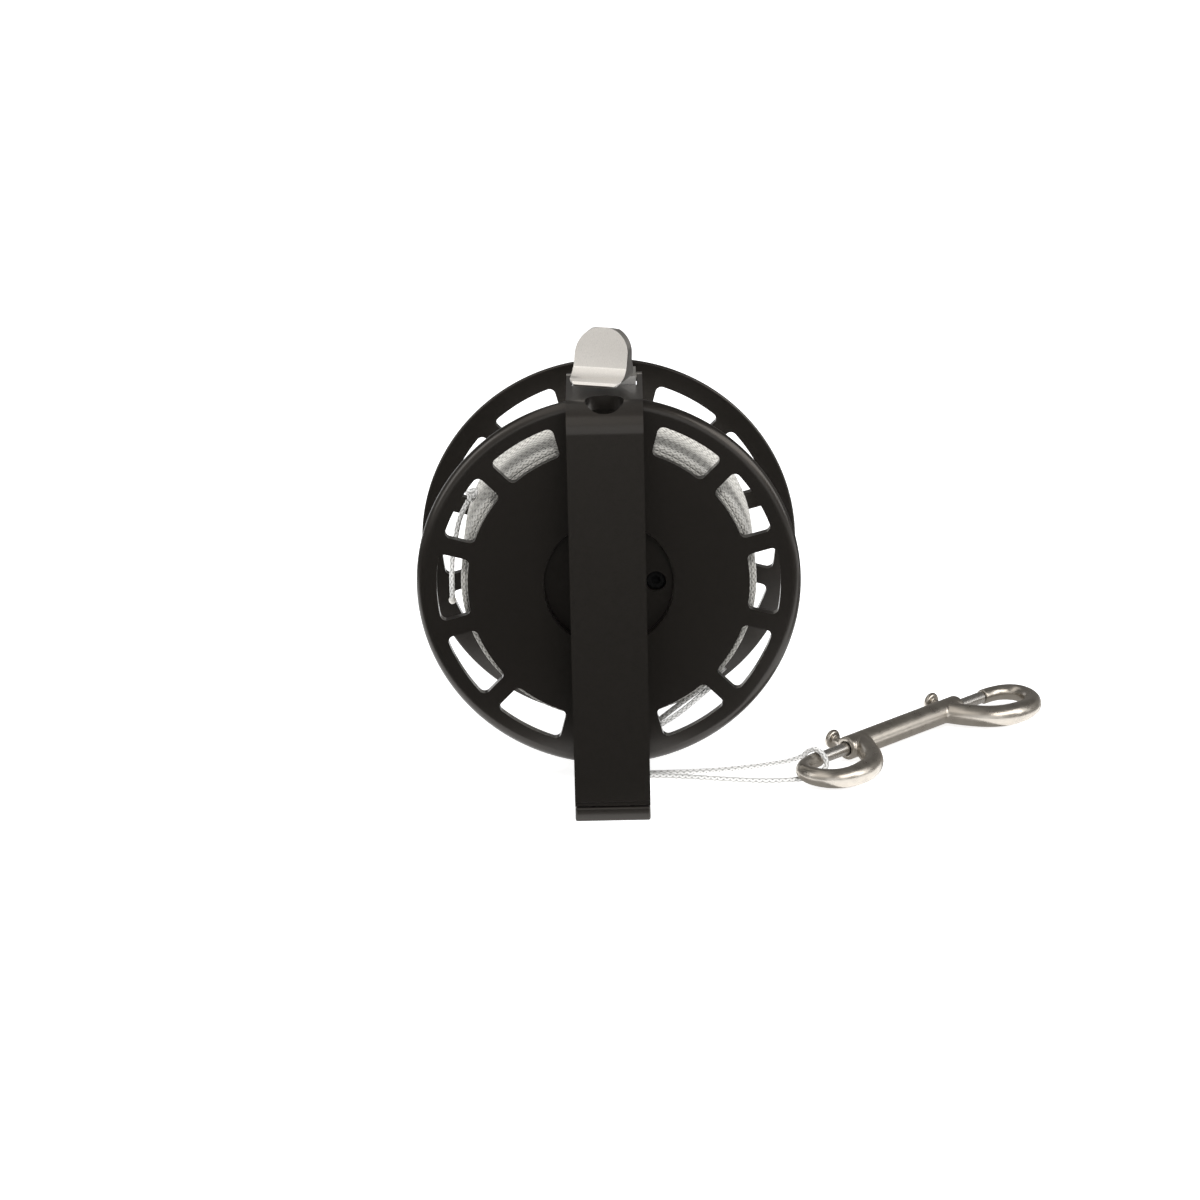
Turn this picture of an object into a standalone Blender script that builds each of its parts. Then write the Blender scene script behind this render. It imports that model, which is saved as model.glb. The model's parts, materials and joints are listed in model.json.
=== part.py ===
"""Dive reel: strap grip, thumb brake, two windowed flanges, white line and a double-ended snap.

Metres, +Z up. The reel stands on its foot arm. X runs across the grip, and +Y runs from the grip
to the winding knob. The origin is on the standing surface, under the middle of the reel.
"""
import math

import bmesh
import bpy
from mathutils import Matrix, Vector

# Driving sizes of the spool
FLANGE_RADIUS = 0.070
FLANGE_THICKNESS = 0.0036
SPOOL_WIDTH = 0.0588
WINDOW_COUNT = 12
RIM_WIDTH = 0.00745
WINDOW_HEIGHT = 0.01127
SPOKE_WIDTH = 0.0052
LINE_PACK_RADIUS = 0.0542
LINE_DIAMETER = 0.002

# Driving sizes of the frame
BAR_WIDTH = 0.0272
BAR_THICKNESS = 0.005
GRIP_REACH = 0.038
FOOT_THICKNESS = 0.0053
RIM_TO_FOOT = 0.0022
RIM_TO_ARM = 0.0025
KNOB_REACH = 0.030

# Clearances: still pieces that touch, turning pieces, and how far a cutter runs past a face
FIT_GAP = 0.0003
RUNNING_GAP = 0.0003
OVERRUN = 0.002

# Places that the sizes give
WINDOW_OUTER_RADIUS = FLANGE_RADIUS - RIM_WIDTH
WINDOW_INNER_RADIUS = WINDOW_OUTER_RADIUS - WINDOW_HEIGHT
AXIS_HEIGHT = FOOT_THICKNESS + RIM_TO_FOOT + FLANGE_RADIUS
SPOOL_FRONT_Y = GRIP_REACH - (GRIP_REACH + SPOOL_WIDTH + KNOB_REACH) / 2
SPOOL_REAR_Y = SPOOL_FRONT_Y + SPOOL_WIDTH
GRIP_FRONT_Y = SPOOL_FRONT_Y - GRIP_REACH
ARM_BOTTOM_Z = AXIS_HEIGHT + FLANGE_RADIUS + RIM_TO_ARM
ARM_TOP_Z = ARM_BOTTOM_Z + BAR_THICKNESS
HALF_BAR = BAR_WIDTH / 2

FLANGE_STEPS = 48
ROUND_STEPS = 32
TURNED_STEPS = 20
SMALL_STEPS = 12
SCREW_STEPS = 8
MERGE_DISTANCE = 0.00001
SMOOTH_ANGLE = math.radians(35)

for old in list(bpy.data.objects):
    bpy.data.objects.remove(old)


def new_collection(name):
    made = bpy.data.collections.new(name)
    bpy.context.scene.collection.children.link(made)
    return made


PARTS = new_collection("dive_reel")
CUTTERS = new_collection("cutters")


def make_material(name, colour, roughness, metallic):
    made = bpy.data.materials.new(name)
    made.use_nodes = True
    shader = made.node_tree.nodes["Principled BSDF"]
    shader.inputs["Base Color"].default_value = (*colour, 1)
    shader.inputs["Roughness"].default_value = roughness
    shader.inputs["Metallic"].default_value = metallic
    return made


BLACK_ANODISED = make_material("black_anodised", (0.012, 0.012, 0.013), 0.42, 0.6)
STAINLESS = make_material("stainless", (0.55, 0.54, 0.51), 0.25, 1)
BLACK_PLASTIC = make_material("black_plastic", (0.015, 0.015, 0.016), 0.5, 0)
BRONZE = make_material("bronze", (0.45, 0.30, 0.14), 0.4, 1)
RUBBER = make_material("brake_rubber", (0.03, 0.03, 0.03), 0.8, 0)
WHITE_LINE = make_material("white_line", (0.80, 0.80, 0.77), 0.8, 0)


def mesh_object(name, mesh, material=None):
    """Adds a mesh as a part, or as a cutter where it has no material."""
    made = bpy.data.objects.new(name, mesh)
    if material is None:
        CUTTERS.objects.link(made)
        made.hide_render = True
        made.display_type = "WIRE"
        return made
    PARTS.objects.link(made)
    mesh.materials.clear()
    mesh.materials.append(material)
    mesh.shade_smooth()
    mesh.set_sharp_from_angle(angle=SMOOTH_ANGLE)
    return made


def closed_mesh(source):
    """Turns an object's evaluated shape into a welded mesh whose faces point out."""
    bpy.context.view_layer.update()
    graph = bpy.context.evaluated_depsgraph_get()
    mesh = bpy.data.meshes.new_from_object(source.evaluated_get(graph))
    work = bmesh.new()
    work.from_mesh(mesh)
    bmesh.ops.transform(work, matrix=source.matrix_world, verts=work.verts)
    bmesh.ops.remove_doubles(work, verts=work.verts, dist=MERGE_DISTANCE)
    bmesh.ops.recalc_face_normals(work, faces=work.faces)
    work.to_mesh(mesh)
    work.free()
    bpy.data.objects.remove(source)
    return mesh


def turned(profile, steps=ROUND_STEPS):
    """Revolves (radius, height) points round local Z. A profile that starts on the axis is open."""
    mesh = bpy.data.meshes.new("profile")
    count = len(profile)
    edges = [(i, i + 1) for i in range(count - 1)]
    if profile[0][0] > 0:
        edges.append((count - 1, 0))
    mesh.from_pydata([(radius, 0, height) for radius, height in profile], edges, [])
    source = bpy.data.objects.new("profile", mesh)
    CUTTERS.objects.link(source)
    screw = source.modifiers.new("turn", "SCREW")
    screw.steps = steps
    screw.render_steps = steps
    screw.use_merge_vertices = True
    screw.merge_threshold = MERGE_DISTANCE
    return closed_mesh(source)


def flat_plate(outline, thickness, holes=()):
    """Fills an outline in local XY, with holes, and gives it a thickness about the plane."""
    curve = bpy.data.curves.new("outline", "CURVE")
    curve.dimensions = "2D"
    curve.fill_mode = "BOTH"
    curve.extrude = thickness / 2
    for ring in (outline, *holes):
        spline = curve.splines.new("POLY")
        spline.points.add(len(ring) - 1)
        for point, place in zip(spline.points, ring):
            point.co = (place[0], place[1], 0, 1)
        spline.use_cyclic_u = True
    source = bpy.data.objects.new("outline", curve)
    CUTTERS.objects.link(source)
    return closed_mesh(source)


def tube(points, diameter, resolution=2, radii=None):
    """A wire or line of round section along points, with closed ends and radii as shares."""
    curve = bpy.data.curves.new("wire", "CURVE")
    curve.dimensions = "3D"
    curve.bevel_depth = diameter / 2
    curve.bevel_resolution = resolution
    curve.use_fill_caps = True
    spline = curve.splines.new("POLY")
    spline.points.add(len(points) - 1)
    for i, (point, place) in enumerate(zip(spline.points, points)):
        point.co = (*place, 1)
        point.radius = radii[i] if radii else 1
    source = bpy.data.objects.new("wire", curve)
    CUTTERS.objects.link(source)
    return closed_mesh(source)


def block(low, high, rounding=0.0):
    """A box between two corners, with its edges bevelled by rounding."""
    work = bmesh.new()
    bmesh.ops.create_cube(work, size=1)
    size = Vector(high) - Vector(low)
    middle = (Vector(high) + Vector(low)) / 2
    bmesh.ops.transform(work, matrix=Matrix.LocRotScale(middle, None, size), verts=work.verts)
    if rounding > 0:
        bmesh.ops.bevel(work, geom=work.edges, offset=rounding, segments=1, affect="EDGES")
    mesh = bpy.data.meshes.new("block")
    work.to_mesh(mesh)
    work.free()
    return mesh


def helix(radius, length, turns, points_per_turn):
    """Points of a coil round local Z, from height zero."""
    count = turns * points_per_turn
    points = []
    for i in range(count + 1):
        angle = 2 * math.pi * i / points_per_turn
        points.append((radius * math.cos(angle), radius * math.sin(angle), length * i / count))
    return points


def moved(mesh, matrix):
    mesh.transform(matrix)
    return mesh


def rod(radius, start, end, steps=SMALL_STEPS):
    """A plain round bar from start to end."""
    start, end = Vector(start), Vector(end)
    along = end - start
    work = bmesh.new()
    bmesh.ops.create_cone(work, cap_ends=True, segments=steps, radius1=radius, radius2=radius,
                          depth=along.length)
    turn = along.to_track_quat("Z", "Y")
    bmesh.ops.transform(work, matrix=Matrix.LocRotScale((start + end) / 2, turn, None), verts=work.verts)
    mesh = bpy.data.meshes.new("rod")
    work.to_mesh(mesh)
    work.free()
    return mesh


def merged(meshes):
    """Puts several meshes in one, as separate solids."""
    work = bmesh.new()
    for mesh in meshes:
        work.from_mesh(mesh)
    mesh = bpy.data.meshes.new("merged")
    work.to_mesh(mesh)
    work.free()
    return mesh


def boolean(target, mesh, operation):
    """Cuts a mesh out of an object, or joins it to the object, in world space."""
    tool = mesh_object(f"{target.name}_{operation.lower()}_{len(target.modifiers)}", mesh)
    step = target.modifiers.new(tool.name, "BOOLEAN")
    step.operation = operation
    step.solver = "EXACT"
    step.object = tool


def cut(target, mesh):
    boolean(target, mesh, "DIFFERENCE")


def join(target, mesh):
    boolean(target, mesh, "UNION")


def placed_on_axis(target, origin):
    """Moves an object's origin to a point on its joint axis and leaves its shape in place."""
    target.data.transform(Matrix.Translation(-Vector(origin)))
    target.location = origin


def arc(centre, radius, start, end, steps):
    """Points on an arc from start to end, in degrees."""
    points = []
    for i in range(steps + 1):
        angle = math.radians(start + (end - start) * i / steps)
        points.append((centre[0] + radius * math.cos(angle), centre[1] + radius * math.sin(angle)))
    return points


# Local Z of a turned piece becomes +Y, with the front flange's face at height zero
SPOOL_AXIS = (0, SPOOL_FRONT_Y, AXIS_HEIGHT)
LAY_ALONG_Y = Matrix.Rotation(math.radians(-90), 4, "X")
ON_SPOOL_AXIS = Matrix.Translation(SPOOL_AXIS) @ LAY_ALONG_Y

# An outline drawn in (Y, Z) is stood up so that its thickness runs along X
STAND_YZ = Matrix(((0, 0, 1, 0), (1, 0, 0, 0), (0, 1, 0, 0), (0, 0, 0, 1)))


def on_spool(depth, radius=0.0, clock=0.0):
    """A world point at a depth behind the front flange's face, at a clock angle from +X."""
    angle = math.radians(clock)
    return Vector((radius * math.cos(angle), SPOOL_FRONT_Y + depth, AXIS_HEIGHT + radius * math.sin(angle)))


# The grip strap: one flat bar, bent back over the flange and slotted for the thumb lever
BEND_OUTER_RADIUS = 0.0105
BEND_STEPS = 8
ARM_REAR = 0.0099
CLIP_HOLE_RADIUS = 0.006
CLIP_HOLE_SPREAD = 0.0009
CLIP_HOLE_FRONT = 0.0088
SEAM_HEIGHT = 0.0015
SEAM_DEPTH = 0.0008
LEVER_WIDTH = 0.0226
LEVER_SIDE_GAP = 0.0003
POCKET_FRONT = -0.0093
POCKET_DEPTH = 0.0026
SLOT_FRONT = -0.0006
EAR_ROUNDING = 0.0016
BAR_EDGE = 0.0004
PIVOT_DEPTH = 0.0062
PIVOT_ABOVE_ARM = -0.0013
LEVER_PIN_RADIUS = 0.0015
SCREW_RADIUS = 0.00125
SCREW_HOLE_RADIUS = 0.0015
SCREW_SPACING = 0.014

PIVOT = Vector((0, SPOOL_FRONT_Y + PIVOT_DEPTH, ARM_TOP_Z + PIVOT_ABOVE_ARM))
STRAP_BOTTOM_Z = FOOT_THICKNESS + FIT_GAP
STRAP_SCREW_Y = GRIP_FRONT_Y + BAR_THICKNESS / 2
STRAP_SCREW_LENGTH = 0.009
SCREW_END_GAP = 0.001


def grip_outline():
    """The bent bar seen from the side, in (Y, Z)."""
    front, rear = GRIP_FRONT_Y, SPOOL_FRONT_Y + ARM_REAR
    centre = (front + BEND_OUTER_RADIUS, ARM_TOP_Z - BEND_OUTER_RADIUS)
    outer = arc(centre, BEND_OUTER_RADIUS, 180, 90, BEND_STEPS)
    inner = arc(centre, BEND_OUTER_RADIUS - BAR_THICKNESS, 90, 180, BEND_STEPS)
    ear = (rear - EAR_ROUNDING, ARM_TOP_Z - EAR_ROUNDING)
    points = [(front + SEAM_DEPTH, STRAP_BOTTOM_Z), (front + SEAM_DEPTH, STRAP_BOTTOM_Z + SEAM_HEIGHT)]
    points += [(front, STRAP_BOTTOM_Z + SEAM_HEIGHT + SEAM_DEPTH / 2)] + outer
    points += arc(ear, EAR_ROUNDING, 90, 0, 3)
    points += [(rear, ARM_BOTTOM_Z)] + inner
    points += [(front + BAR_THICKNESS, STRAP_BOTTOM_Z)]
    return points


def make_grip_strap():
    bar = moved(flat_plate(grip_outline(), BAR_WIDTH), STAND_YZ)
    strap = mesh_object("grip_strap", bar, BLACK_ANODISED)
    edge = strap.modifiers.new("broken_edges", "BEVEL")
    edge.width = BAR_EDGE
    edge.segments = 1
    edge.limit_method = "ANGLE"
    edge.angle_limit = math.radians(50)
    hole_y = GRIP_FRONT_Y + CLIP_HOLE_FRONT
    low, high = ARM_BOTTOM_Z - BEND_OUTER_RADIUS, ARM_TOP_Z + OVERRUN
    hole = arc((CLIP_HOLE_SPREAD, hole_y), CLIP_HOLE_RADIUS, -90, 90, 14)
    hole += arc((-CLIP_HOLE_SPREAD, hole_y), CLIP_HOLE_RADIUS, 90, 270, 14)
    cut(strap, moved(flat_plate(hole, high - low), Matrix.Translation((0, 0, (low + high) / 2))))
    half = LEVER_WIDTH / 2 + LEVER_SIDE_GAP
    rear = SPOOL_FRONT_Y + ARM_REAR + OVERRUN
    cut(strap, block((-half, SPOOL_FRONT_Y + SLOT_FRONT, ARM_BOTTOM_Z - OVERRUN), (half, rear, high)))
    cut(strap, block((-half, SPOOL_FRONT_Y + POCKET_FRONT, ARM_TOP_Z - POCKET_DEPTH), (half, rear, high)))
    pin_reach = HALF_BAR + OVERRUN
    cut(strap, rod(LEVER_PIN_RADIUS + FIT_GAP, PIVOT - Vector((pin_reach, 0, 0)),
                   PIVOT + Vector((pin_reach, 0, 0))))
    top = STRAP_BOTTOM_Z + STRAP_SCREW_LENGTH + SCREW_END_GAP - FOOT_THICKNESS / 2
    for side in (-1, 1):
        place = (side * SCREW_SPACING / 2, STRAP_SCREW_Y)
        cut(strap, rod(SCREW_HOLE_RADIUS, (*place, 0), (*place, top)))
        place = (side * SCREW_SPACING / 2, PLATE_MIDDLE_Y)
        cut(strap, rod(SCREW_HOLE_RADIUS, (*place, ARM_BOTTOM_Z - OVERRUN), (*place, ARM_TOP_Z)))
    return strap


# The inner plate: a flat bar that closes the grip's D and carries the axle
PLATE_WIDTH = 0.024
PLATE_THICKNESS = 0.004
PLATE_TO_FLANGE = 0.002
AXLE_STUB_RADIUS = 0.004
PLATE_SCREW_DEPTH = 0.009

PLATE_BACK = -PLATE_TO_FLANGE
PLATE_FRONT = PLATE_BACK - PLATE_THICKNESS
PLATE_MIDDLE_Y = SPOOL_FRONT_Y + (PLATE_BACK + PLATE_FRONT) / 2
PLATE_TOP_Z = ARM_BOTTOM_Z - FIT_GAP


def make_inner_plate():
    low = (-PLATE_WIDTH / 2, SPOOL_FRONT_Y + PLATE_FRONT, FOOT_THICKNESS + FIT_GAP)
    high = (PLATE_WIDTH / 2, SPOOL_FRONT_Y + PLATE_BACK, PLATE_TOP_Z)
    plate = mesh_object("inner_plate", block(low, high, BAR_EDGE), BLACK_ANODISED)
    cut(plate, rod(AXLE_STUB_RADIUS + FIT_GAP, on_spool(PLATE_FRONT - OVERRUN),
                   on_spool(PLATE_BACK + OVERRUN), 24))
    for side in (-1, 1):
        place = (side * SCREW_SPACING / 2, PLATE_MIDDLE_Y)
        cut(plate, rod(SCREW_HOLE_RADIUS, (*place, 0), (*place, FOOT_THICKNESS + PLATE_SCREW_DEPTH)))
        cut(plate, rod(SCREW_HOLE_RADIUS, (*place, PLATE_TOP_Z - PLATE_SCREW_DEPTH), (*place, ARM_TOP_Z)))
    return plate


# The foot arm: it stands on the ground, carries the strap and the plate, and guides the line
FOOT_REAR = 0.056
FOOT_ROUNDING = 0.0008
GUIDE_DEPTH = 0.0085
GUIDE_BORE_RADIUS = 0.0032
GUIDE_WALL = 0.001
GUIDE_LIP_RADIUS = 0.0056
GUIDE_LIP_HEIGHT = 0.0016
GROOVE_WIDTH = 0.0075
GROOVE_DEPTH = 0.0032
GROOVE_FORWARD = 0.0012
SCREW_HEAD_RADIUS = 0.0017
SCREW_HEAD_HEIGHT = 0.002
SCREW_POCKET_DEPTH = 0.0024
GUIDE_SEAT_RADIUS = GUIDE_BORE_RADIUS + GUIDE_WALL
GUIDE_Y = SPOOL_FRONT_Y + GUIDE_DEPTH


def make_foot_arm():
    low = (-HALF_BAR, GRIP_FRONT_Y, 0)
    high = (HALF_BAR, SPOOL_FRONT_Y + FOOT_REAR, FOOT_THICKNESS)
    foot = mesh_object("foot_arm", block(low, high, FOOT_ROUNDING), BLACK_ANODISED)
    cut(foot, rod(GUIDE_SEAT_RADIUS + FIT_GAP, (0, GUIDE_Y, -OVERRUN),
                  (0, GUIDE_Y, FOOT_THICKNESS + OVERRUN), 24))
    middle = GUIDE_Y - GROOVE_FORWARD
    cut(foot, block((0, middle - GROOVE_WIDTH / 2, -OVERRUN),
                    (HALF_BAR + OVERRUN, middle + GROOVE_WIDTH / 2, GROOVE_DEPTH)))
    for y in (STRAP_SCREW_Y, PLATE_MIDDLE_Y):
        for side in (-1, 1):
            x = side * SCREW_SPACING / 2
            cut(foot, rod(SCREW_HEAD_RADIUS + FIT_GAP, (x, y, -OVERRUN), (x, y, SCREW_POCKET_DEPTH)))
            cut(foot, rod(SCREW_HOLE_RADIUS, (x, y, 0), (x, y, FOOT_THICKNESS + OVERRUN)))
    return foot


# Cap screws: a round head with a hex socket and a plain shank, local Z from the head to the tip
SOCKET_SHARE = 0.5
SOCKET_DEPTH_SHARE = 0.6
FLAT_HEAD_HEIGHT = 0.0008


def cap_screw(head_radius, head_height, shank_radius, length):
    """One screw with the top of its head at the origin and its shank along +Z."""
    profile = [(0, length), (shank_radius, length), (shank_radius, head_height),
               (head_radius, head_height), (head_radius, 0), (head_radius * SOCKET_SHARE, 0)]
    profile += [(head_radius * SOCKET_SHARE, head_height * SOCKET_DEPTH_SHARE),
                (0, head_height * SOCKET_DEPTH_SHARE)]
    return turned(profile, SCREW_STEPS)


def place_screws(name, places, direction, sizes):
    """Like screws with one mesh: each at its head's place, with the shank along direction."""
    turn = Vector(direction).to_track_quat("Z", "Y").to_matrix().to_4x4()
    mesh = cap_screw(*sizes)
    for i, place in enumerate(places):
        number = f"_{i + 1}" if len(places) > 1 else ""
        screw = mesh_object(name + number, mesh, STAINLESS)
        screw.matrix_world = Matrix.Translation(place) @ turn


def make_frame_screws():
    head_z = SCREW_POCKET_DEPTH - FIT_GAP - SCREW_HEAD_HEIGHT
    sizes = (SCREW_HEAD_RADIUS, SCREW_HEAD_HEIGHT, SCREW_RADIUS, STRAP_SCREW_LENGTH)
    sides = (-SCREW_SPACING / 2, SCREW_SPACING / 2)
    strap_places = [(x, STRAP_SCREW_Y, head_z) for x in sides]
    place_screws("strap_screw", strap_places, (0, 0, 1), sizes)
    plate_places = [(x, PLATE_MIDDLE_Y, head_z) for x in sides]
    place_screws("plate_foot_screw", plate_places, (0, 0, 1), sizes)
    floor_z = ARM_TOP_Z - POCKET_DEPTH
    flat_sizes = (SCREW_HEAD_RADIUS, FLAT_HEAD_HEIGHT, SCREW_RADIUS, PLATE_SCREW_DEPTH)
    top_places = [(x, PLATE_MIDDLE_Y, floor_z + FIT_GAP + FLAT_HEAD_HEIGHT) for x in sides]
    place_screws("plate_top_screw", top_places, (0, 0, -1), flat_sizes)


# The line guide: a turned eyelet with a rounded lip, seated in the foot arm
def make_line_guide():
    bottom = GROOVE_DEPTH + FIT_GAP
    top = FOOT_THICKNESS + FIT_GAP
    bore, seat = GUIDE_BORE_RADIUS, GUIDE_SEAT_RADIUS
    lip = GUIDE_LIP_HEIGHT / 2
    profile = [(bore, bottom), (seat, bottom), (seat, top), (GUIDE_LIP_RADIUS, top)]
    profile += arc((GUIDE_LIP_RADIUS - lip, top + lip), lip, 0, 90, 2)
    profile += arc((bore + lip, top + lip), lip, 90, 180, 2)
    guide = mesh_object("line_guide", turned(profile, TURNED_STEPS), STAINLESS)
    guide.location = (0, GUIDE_Y, 0)
    return guide


# The axle: a collar behind the plate, a stub through it, and a shaft through the spool
AXLE_RADIUS = 0.005
COLLAR_RADIUS = 0.009
COLLAR_REAR = 0.0009
AXLE_END_BEHIND_SPOOL = 0.0129
AXLE_BORE_RADIUS = 0.0021
AXLE_BORE_DEPTH = 0.012
AXLE_SCREW_RADIUS = 0.0018
AXLE_SCREW_LENGTH = 0.011
AXLE_HEAD_RADIUS = 0.0065
AXLE_HEAD_HEIGHT = 0.002
AXLE_REAR = SPOOL_WIDTH + AXLE_END_BEHIND_SPOOL


def make_axle():
    collar_front = PLATE_BACK + FIT_GAP
    front = PLATE_FRONT + FIT_GAP
    profile = [(0, AXLE_REAR - AXLE_BORE_DEPTH), (AXLE_BORE_RADIUS, AXLE_REAR - AXLE_BORE_DEPTH),
               (AXLE_BORE_RADIUS, AXLE_REAR), (AXLE_RADIUS, AXLE_REAR), (AXLE_RADIUS, COLLAR_REAR),
               (COLLAR_RADIUS, COLLAR_REAR), (COLLAR_RADIUS, collar_front),
               (AXLE_STUB_RADIUS, collar_front), (AXLE_STUB_RADIUS, front), (AXLE_BORE_RADIUS, front),
               (AXLE_BORE_RADIUS, front + AXLE_BORE_DEPTH), (0, front + AXLE_BORE_DEPTH)]
    axle = mesh_object("axle", turned(profile, TURNED_STEPS), STAINLESS)
    axle.matrix_world = ON_SPOOL_AXIS
    sizes = (AXLE_HEAD_RADIUS, AXLE_HEAD_HEIGHT, AXLE_SCREW_RADIUS, AXLE_SCREW_LENGTH)
    front_head = on_spool(PLATE_FRONT - FIT_GAP - AXLE_HEAD_HEIGHT)
    place_screws("axle_front_screw", [front_head], (0, 1, 0), sizes)
    rear_head = on_spool(AXLE_REAR + FIT_GAP + AXLE_HEAD_HEIGHT)
    place_screws("axle_rear_screw", [rear_head], (0, -1, 0), sizes)


# The flanges: turned discs with a thick hub boss, a shallow hub recess and twelve windows
HUB_RECESS_RADIUS = 0.0236
HUB_RECESS_DEPTH = 0.003
HUB_CHAMFER = 0.0006
HUB_BOSS_RADIUS = 0.0262
HUB_BOSS_DEPTH = 0.010
RIM_ROUNDING = 0.0012
WINDOW_CORNER = 0.002
BUSH_RADIUS = 0.008
HUB_SCREW_CIRCLE = 0.0172
HUB_SCREW_HEAD_RADIUS = 0.0034
HUB_SCREW_HEAD_HEIGHT = 0.003
HUB_SCREW_RADIUS = 0.0018
HUB_SCREW_LENGTH = 0.016
HUB_COUNTERBORE_DEPTH = 0.0048
HUB_SCREW_COUNT = 3
HUB_SEAT_DEPTH = HUB_RECESS_DEPTH + HUB_COUNTERBORE_DEPTH
HUB_SCREW_CLOCKS = [i * 360 / HUB_SCREW_COUNT for i in range(HUB_SCREW_COUNT)]


def flange_profile():
    """Half section of a flange, with its outer face at height zero."""
    bore = BUSH_RADIUS + FIT_GAP
    rim, edge = FLANGE_RADIUS, RIM_ROUNDING
    profile = [(HUB_RECESS_RADIUS + HUB_CHAMFER, 0), (HUB_RECESS_RADIUS, HUB_CHAMFER),
               (HUB_RECESS_RADIUS, HUB_RECESS_DEPTH), (bore, HUB_RECESS_DEPTH), (bore, HUB_BOSS_DEPTH),
               (HUB_BOSS_RADIUS, HUB_BOSS_DEPTH), (HUB_BOSS_RADIUS, FLANGE_THICKNESS)]
    profile += arc((rim - edge, FLANGE_THICKNESS - edge), edge, 90, 0, 1)
    profile += arc((rim - edge, edge), edge, 0, -90, 1)
    return profile


def window_outline(clock):
    """One window: a slice of a ring with round corners, in (X, Y) about the spool's axis."""
    points = []
    corner = WINDOW_CORNER
    half_gap = SPOKE_WIDTH / 2 + corner
    spread = 180 / WINDOW_COUNT
    for radius, turns in ((WINDOW_OUTER_RADIUS - corner, (1, -1)), (WINDOW_INNER_RADIUS + corner, (-1, 1))):
        outward = turns[0] == 1
        for side in turns:
            across = math.degrees(math.asin(half_gap / radius))
            at = math.radians(clock + side * (spread - across))
            centre = (radius * math.cos(at), radius * math.sin(at))
            edge_way = clock + side * spread + side * 90
            face_way = math.degrees(at) + (0 if outward else 180)
            first, last = (edge_way, face_way) if side == turns[0] else (face_way, edge_way)
            sweep = (last - first + 180) % 360 - 180
            points += arc(centre, corner, first, first + sweep, 2)
            if side == turns[0]:
                edge_radius = radius + corner if outward else radius - corner
                points += arc((0, 0), edge_radius, clock + spread / 3 * side, clock - spread / 3 * side, 1)
    return points


def make_flange(name, outer_face, direction):
    """A flange whose outer face is at a depth and whose inner side lies along direction."""
    flange = mesh_object(name, turned(flange_profile(), FLANGE_STEPS), BLACK_ANODISED)
    turn = Matrix.Rotation(math.radians(-90 * direction), 4, "X")
    flange.matrix_world = Matrix.Translation(on_spool(outer_face)) @ turn
    windows = []
    stand = Matrix.Translation(on_spool(outer_face)) @ Matrix.Rotation(math.radians(90), 4, "X")
    for i in range(WINDOW_COUNT):
        outline = window_outline(i * 360 / WINDOW_COUNT)
        windows.append(moved(flat_plate(outline, 2 * (FLANGE_THICKNESS + OVERRUN)), stand))
    cut(flange, merged(windows))
    for clock in HUB_SCREW_CLOCKS:
        start = on_spool(outer_face - direction * OVERRUN, HUB_SCREW_CIRCLE, clock)
        seat = on_spool(outer_face + direction * HUB_SEAT_DEPTH, HUB_SCREW_CIRCLE, clock)
        end = on_spool(outer_face + direction * (HUB_BOSS_DEPTH + OVERRUN), HUB_SCREW_CIRCLE, clock)
        cut(flange, rod(HUB_SCREW_HEAD_RADIUS + FIT_GAP, start, seat))
        cut(flange, rod(HUB_SCREW_RADIUS + FIT_GAP, start, end))
    return flange


# The spool core: a turned drum, a web, a hub tube for the bushes and three screw bosses
DRUM_RADIUS = 0.031
HUB_TUBE_RADIUS = 0.0115
WEB_THICKNESS = 0.004
SCREW_BOSS_RADIUS = 0.0042
SCREW_BORE_DEPTH = 0.012
CORE_START = HUB_BOSS_DEPTH + FIT_GAP
DRUM_START = FLANGE_THICKNESS + FIT_GAP


def make_spool_core():
    middle = SPOOL_WIDTH / 2
    web = WEB_THICKNESS / 2
    seat = HUB_BOSS_RADIUS + FIT_GAP
    bore = BUSH_RADIUS + FIT_GAP
    front = [(DRUM_RADIUS, DRUM_START), (seat, DRUM_START), (seat, middle - web),
             (HUB_TUBE_RADIUS, middle - web), (HUB_TUBE_RADIUS, CORE_START), (bore, CORE_START)]
    rear = [(radius, SPOOL_WIDTH - depth) for radius, depth in reversed(front)]
    core = mesh_object("spool_core", turned(front + rear), BLACK_ANODISED)
    core.matrix_world = ON_SPOOL_AXIS
    for clock in HUB_SCREW_CLOCKS:
        ends = (CORE_START, SPOOL_WIDTH - CORE_START)
        start, end = (on_spool(depth, HUB_SCREW_CIRCLE, clock) for depth in ends)
        join(core, rod(SCREW_BOSS_RADIUS, start, end))
        for depth, direction in zip(ends, (1, -1)):
            mouth = on_spool(depth - direction * OVERRUN, HUB_SCREW_CIRCLE, clock)
            bottom = on_spool(depth + direction * SCREW_BORE_DEPTH, HUB_SCREW_CIRCLE, clock)
            cut(core, rod(HUB_SCREW_RADIUS + FIT_GAP, mouth, bottom, 12))
    return core


# The bushes: plastic, with a collar that lies in the hub recess
BUSH_COLLAR_RADIUS = 0.0105
BUSH_COLLAR_THICKNESS = 0.0015
BUSH_LENGTH = 0.0153


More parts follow.
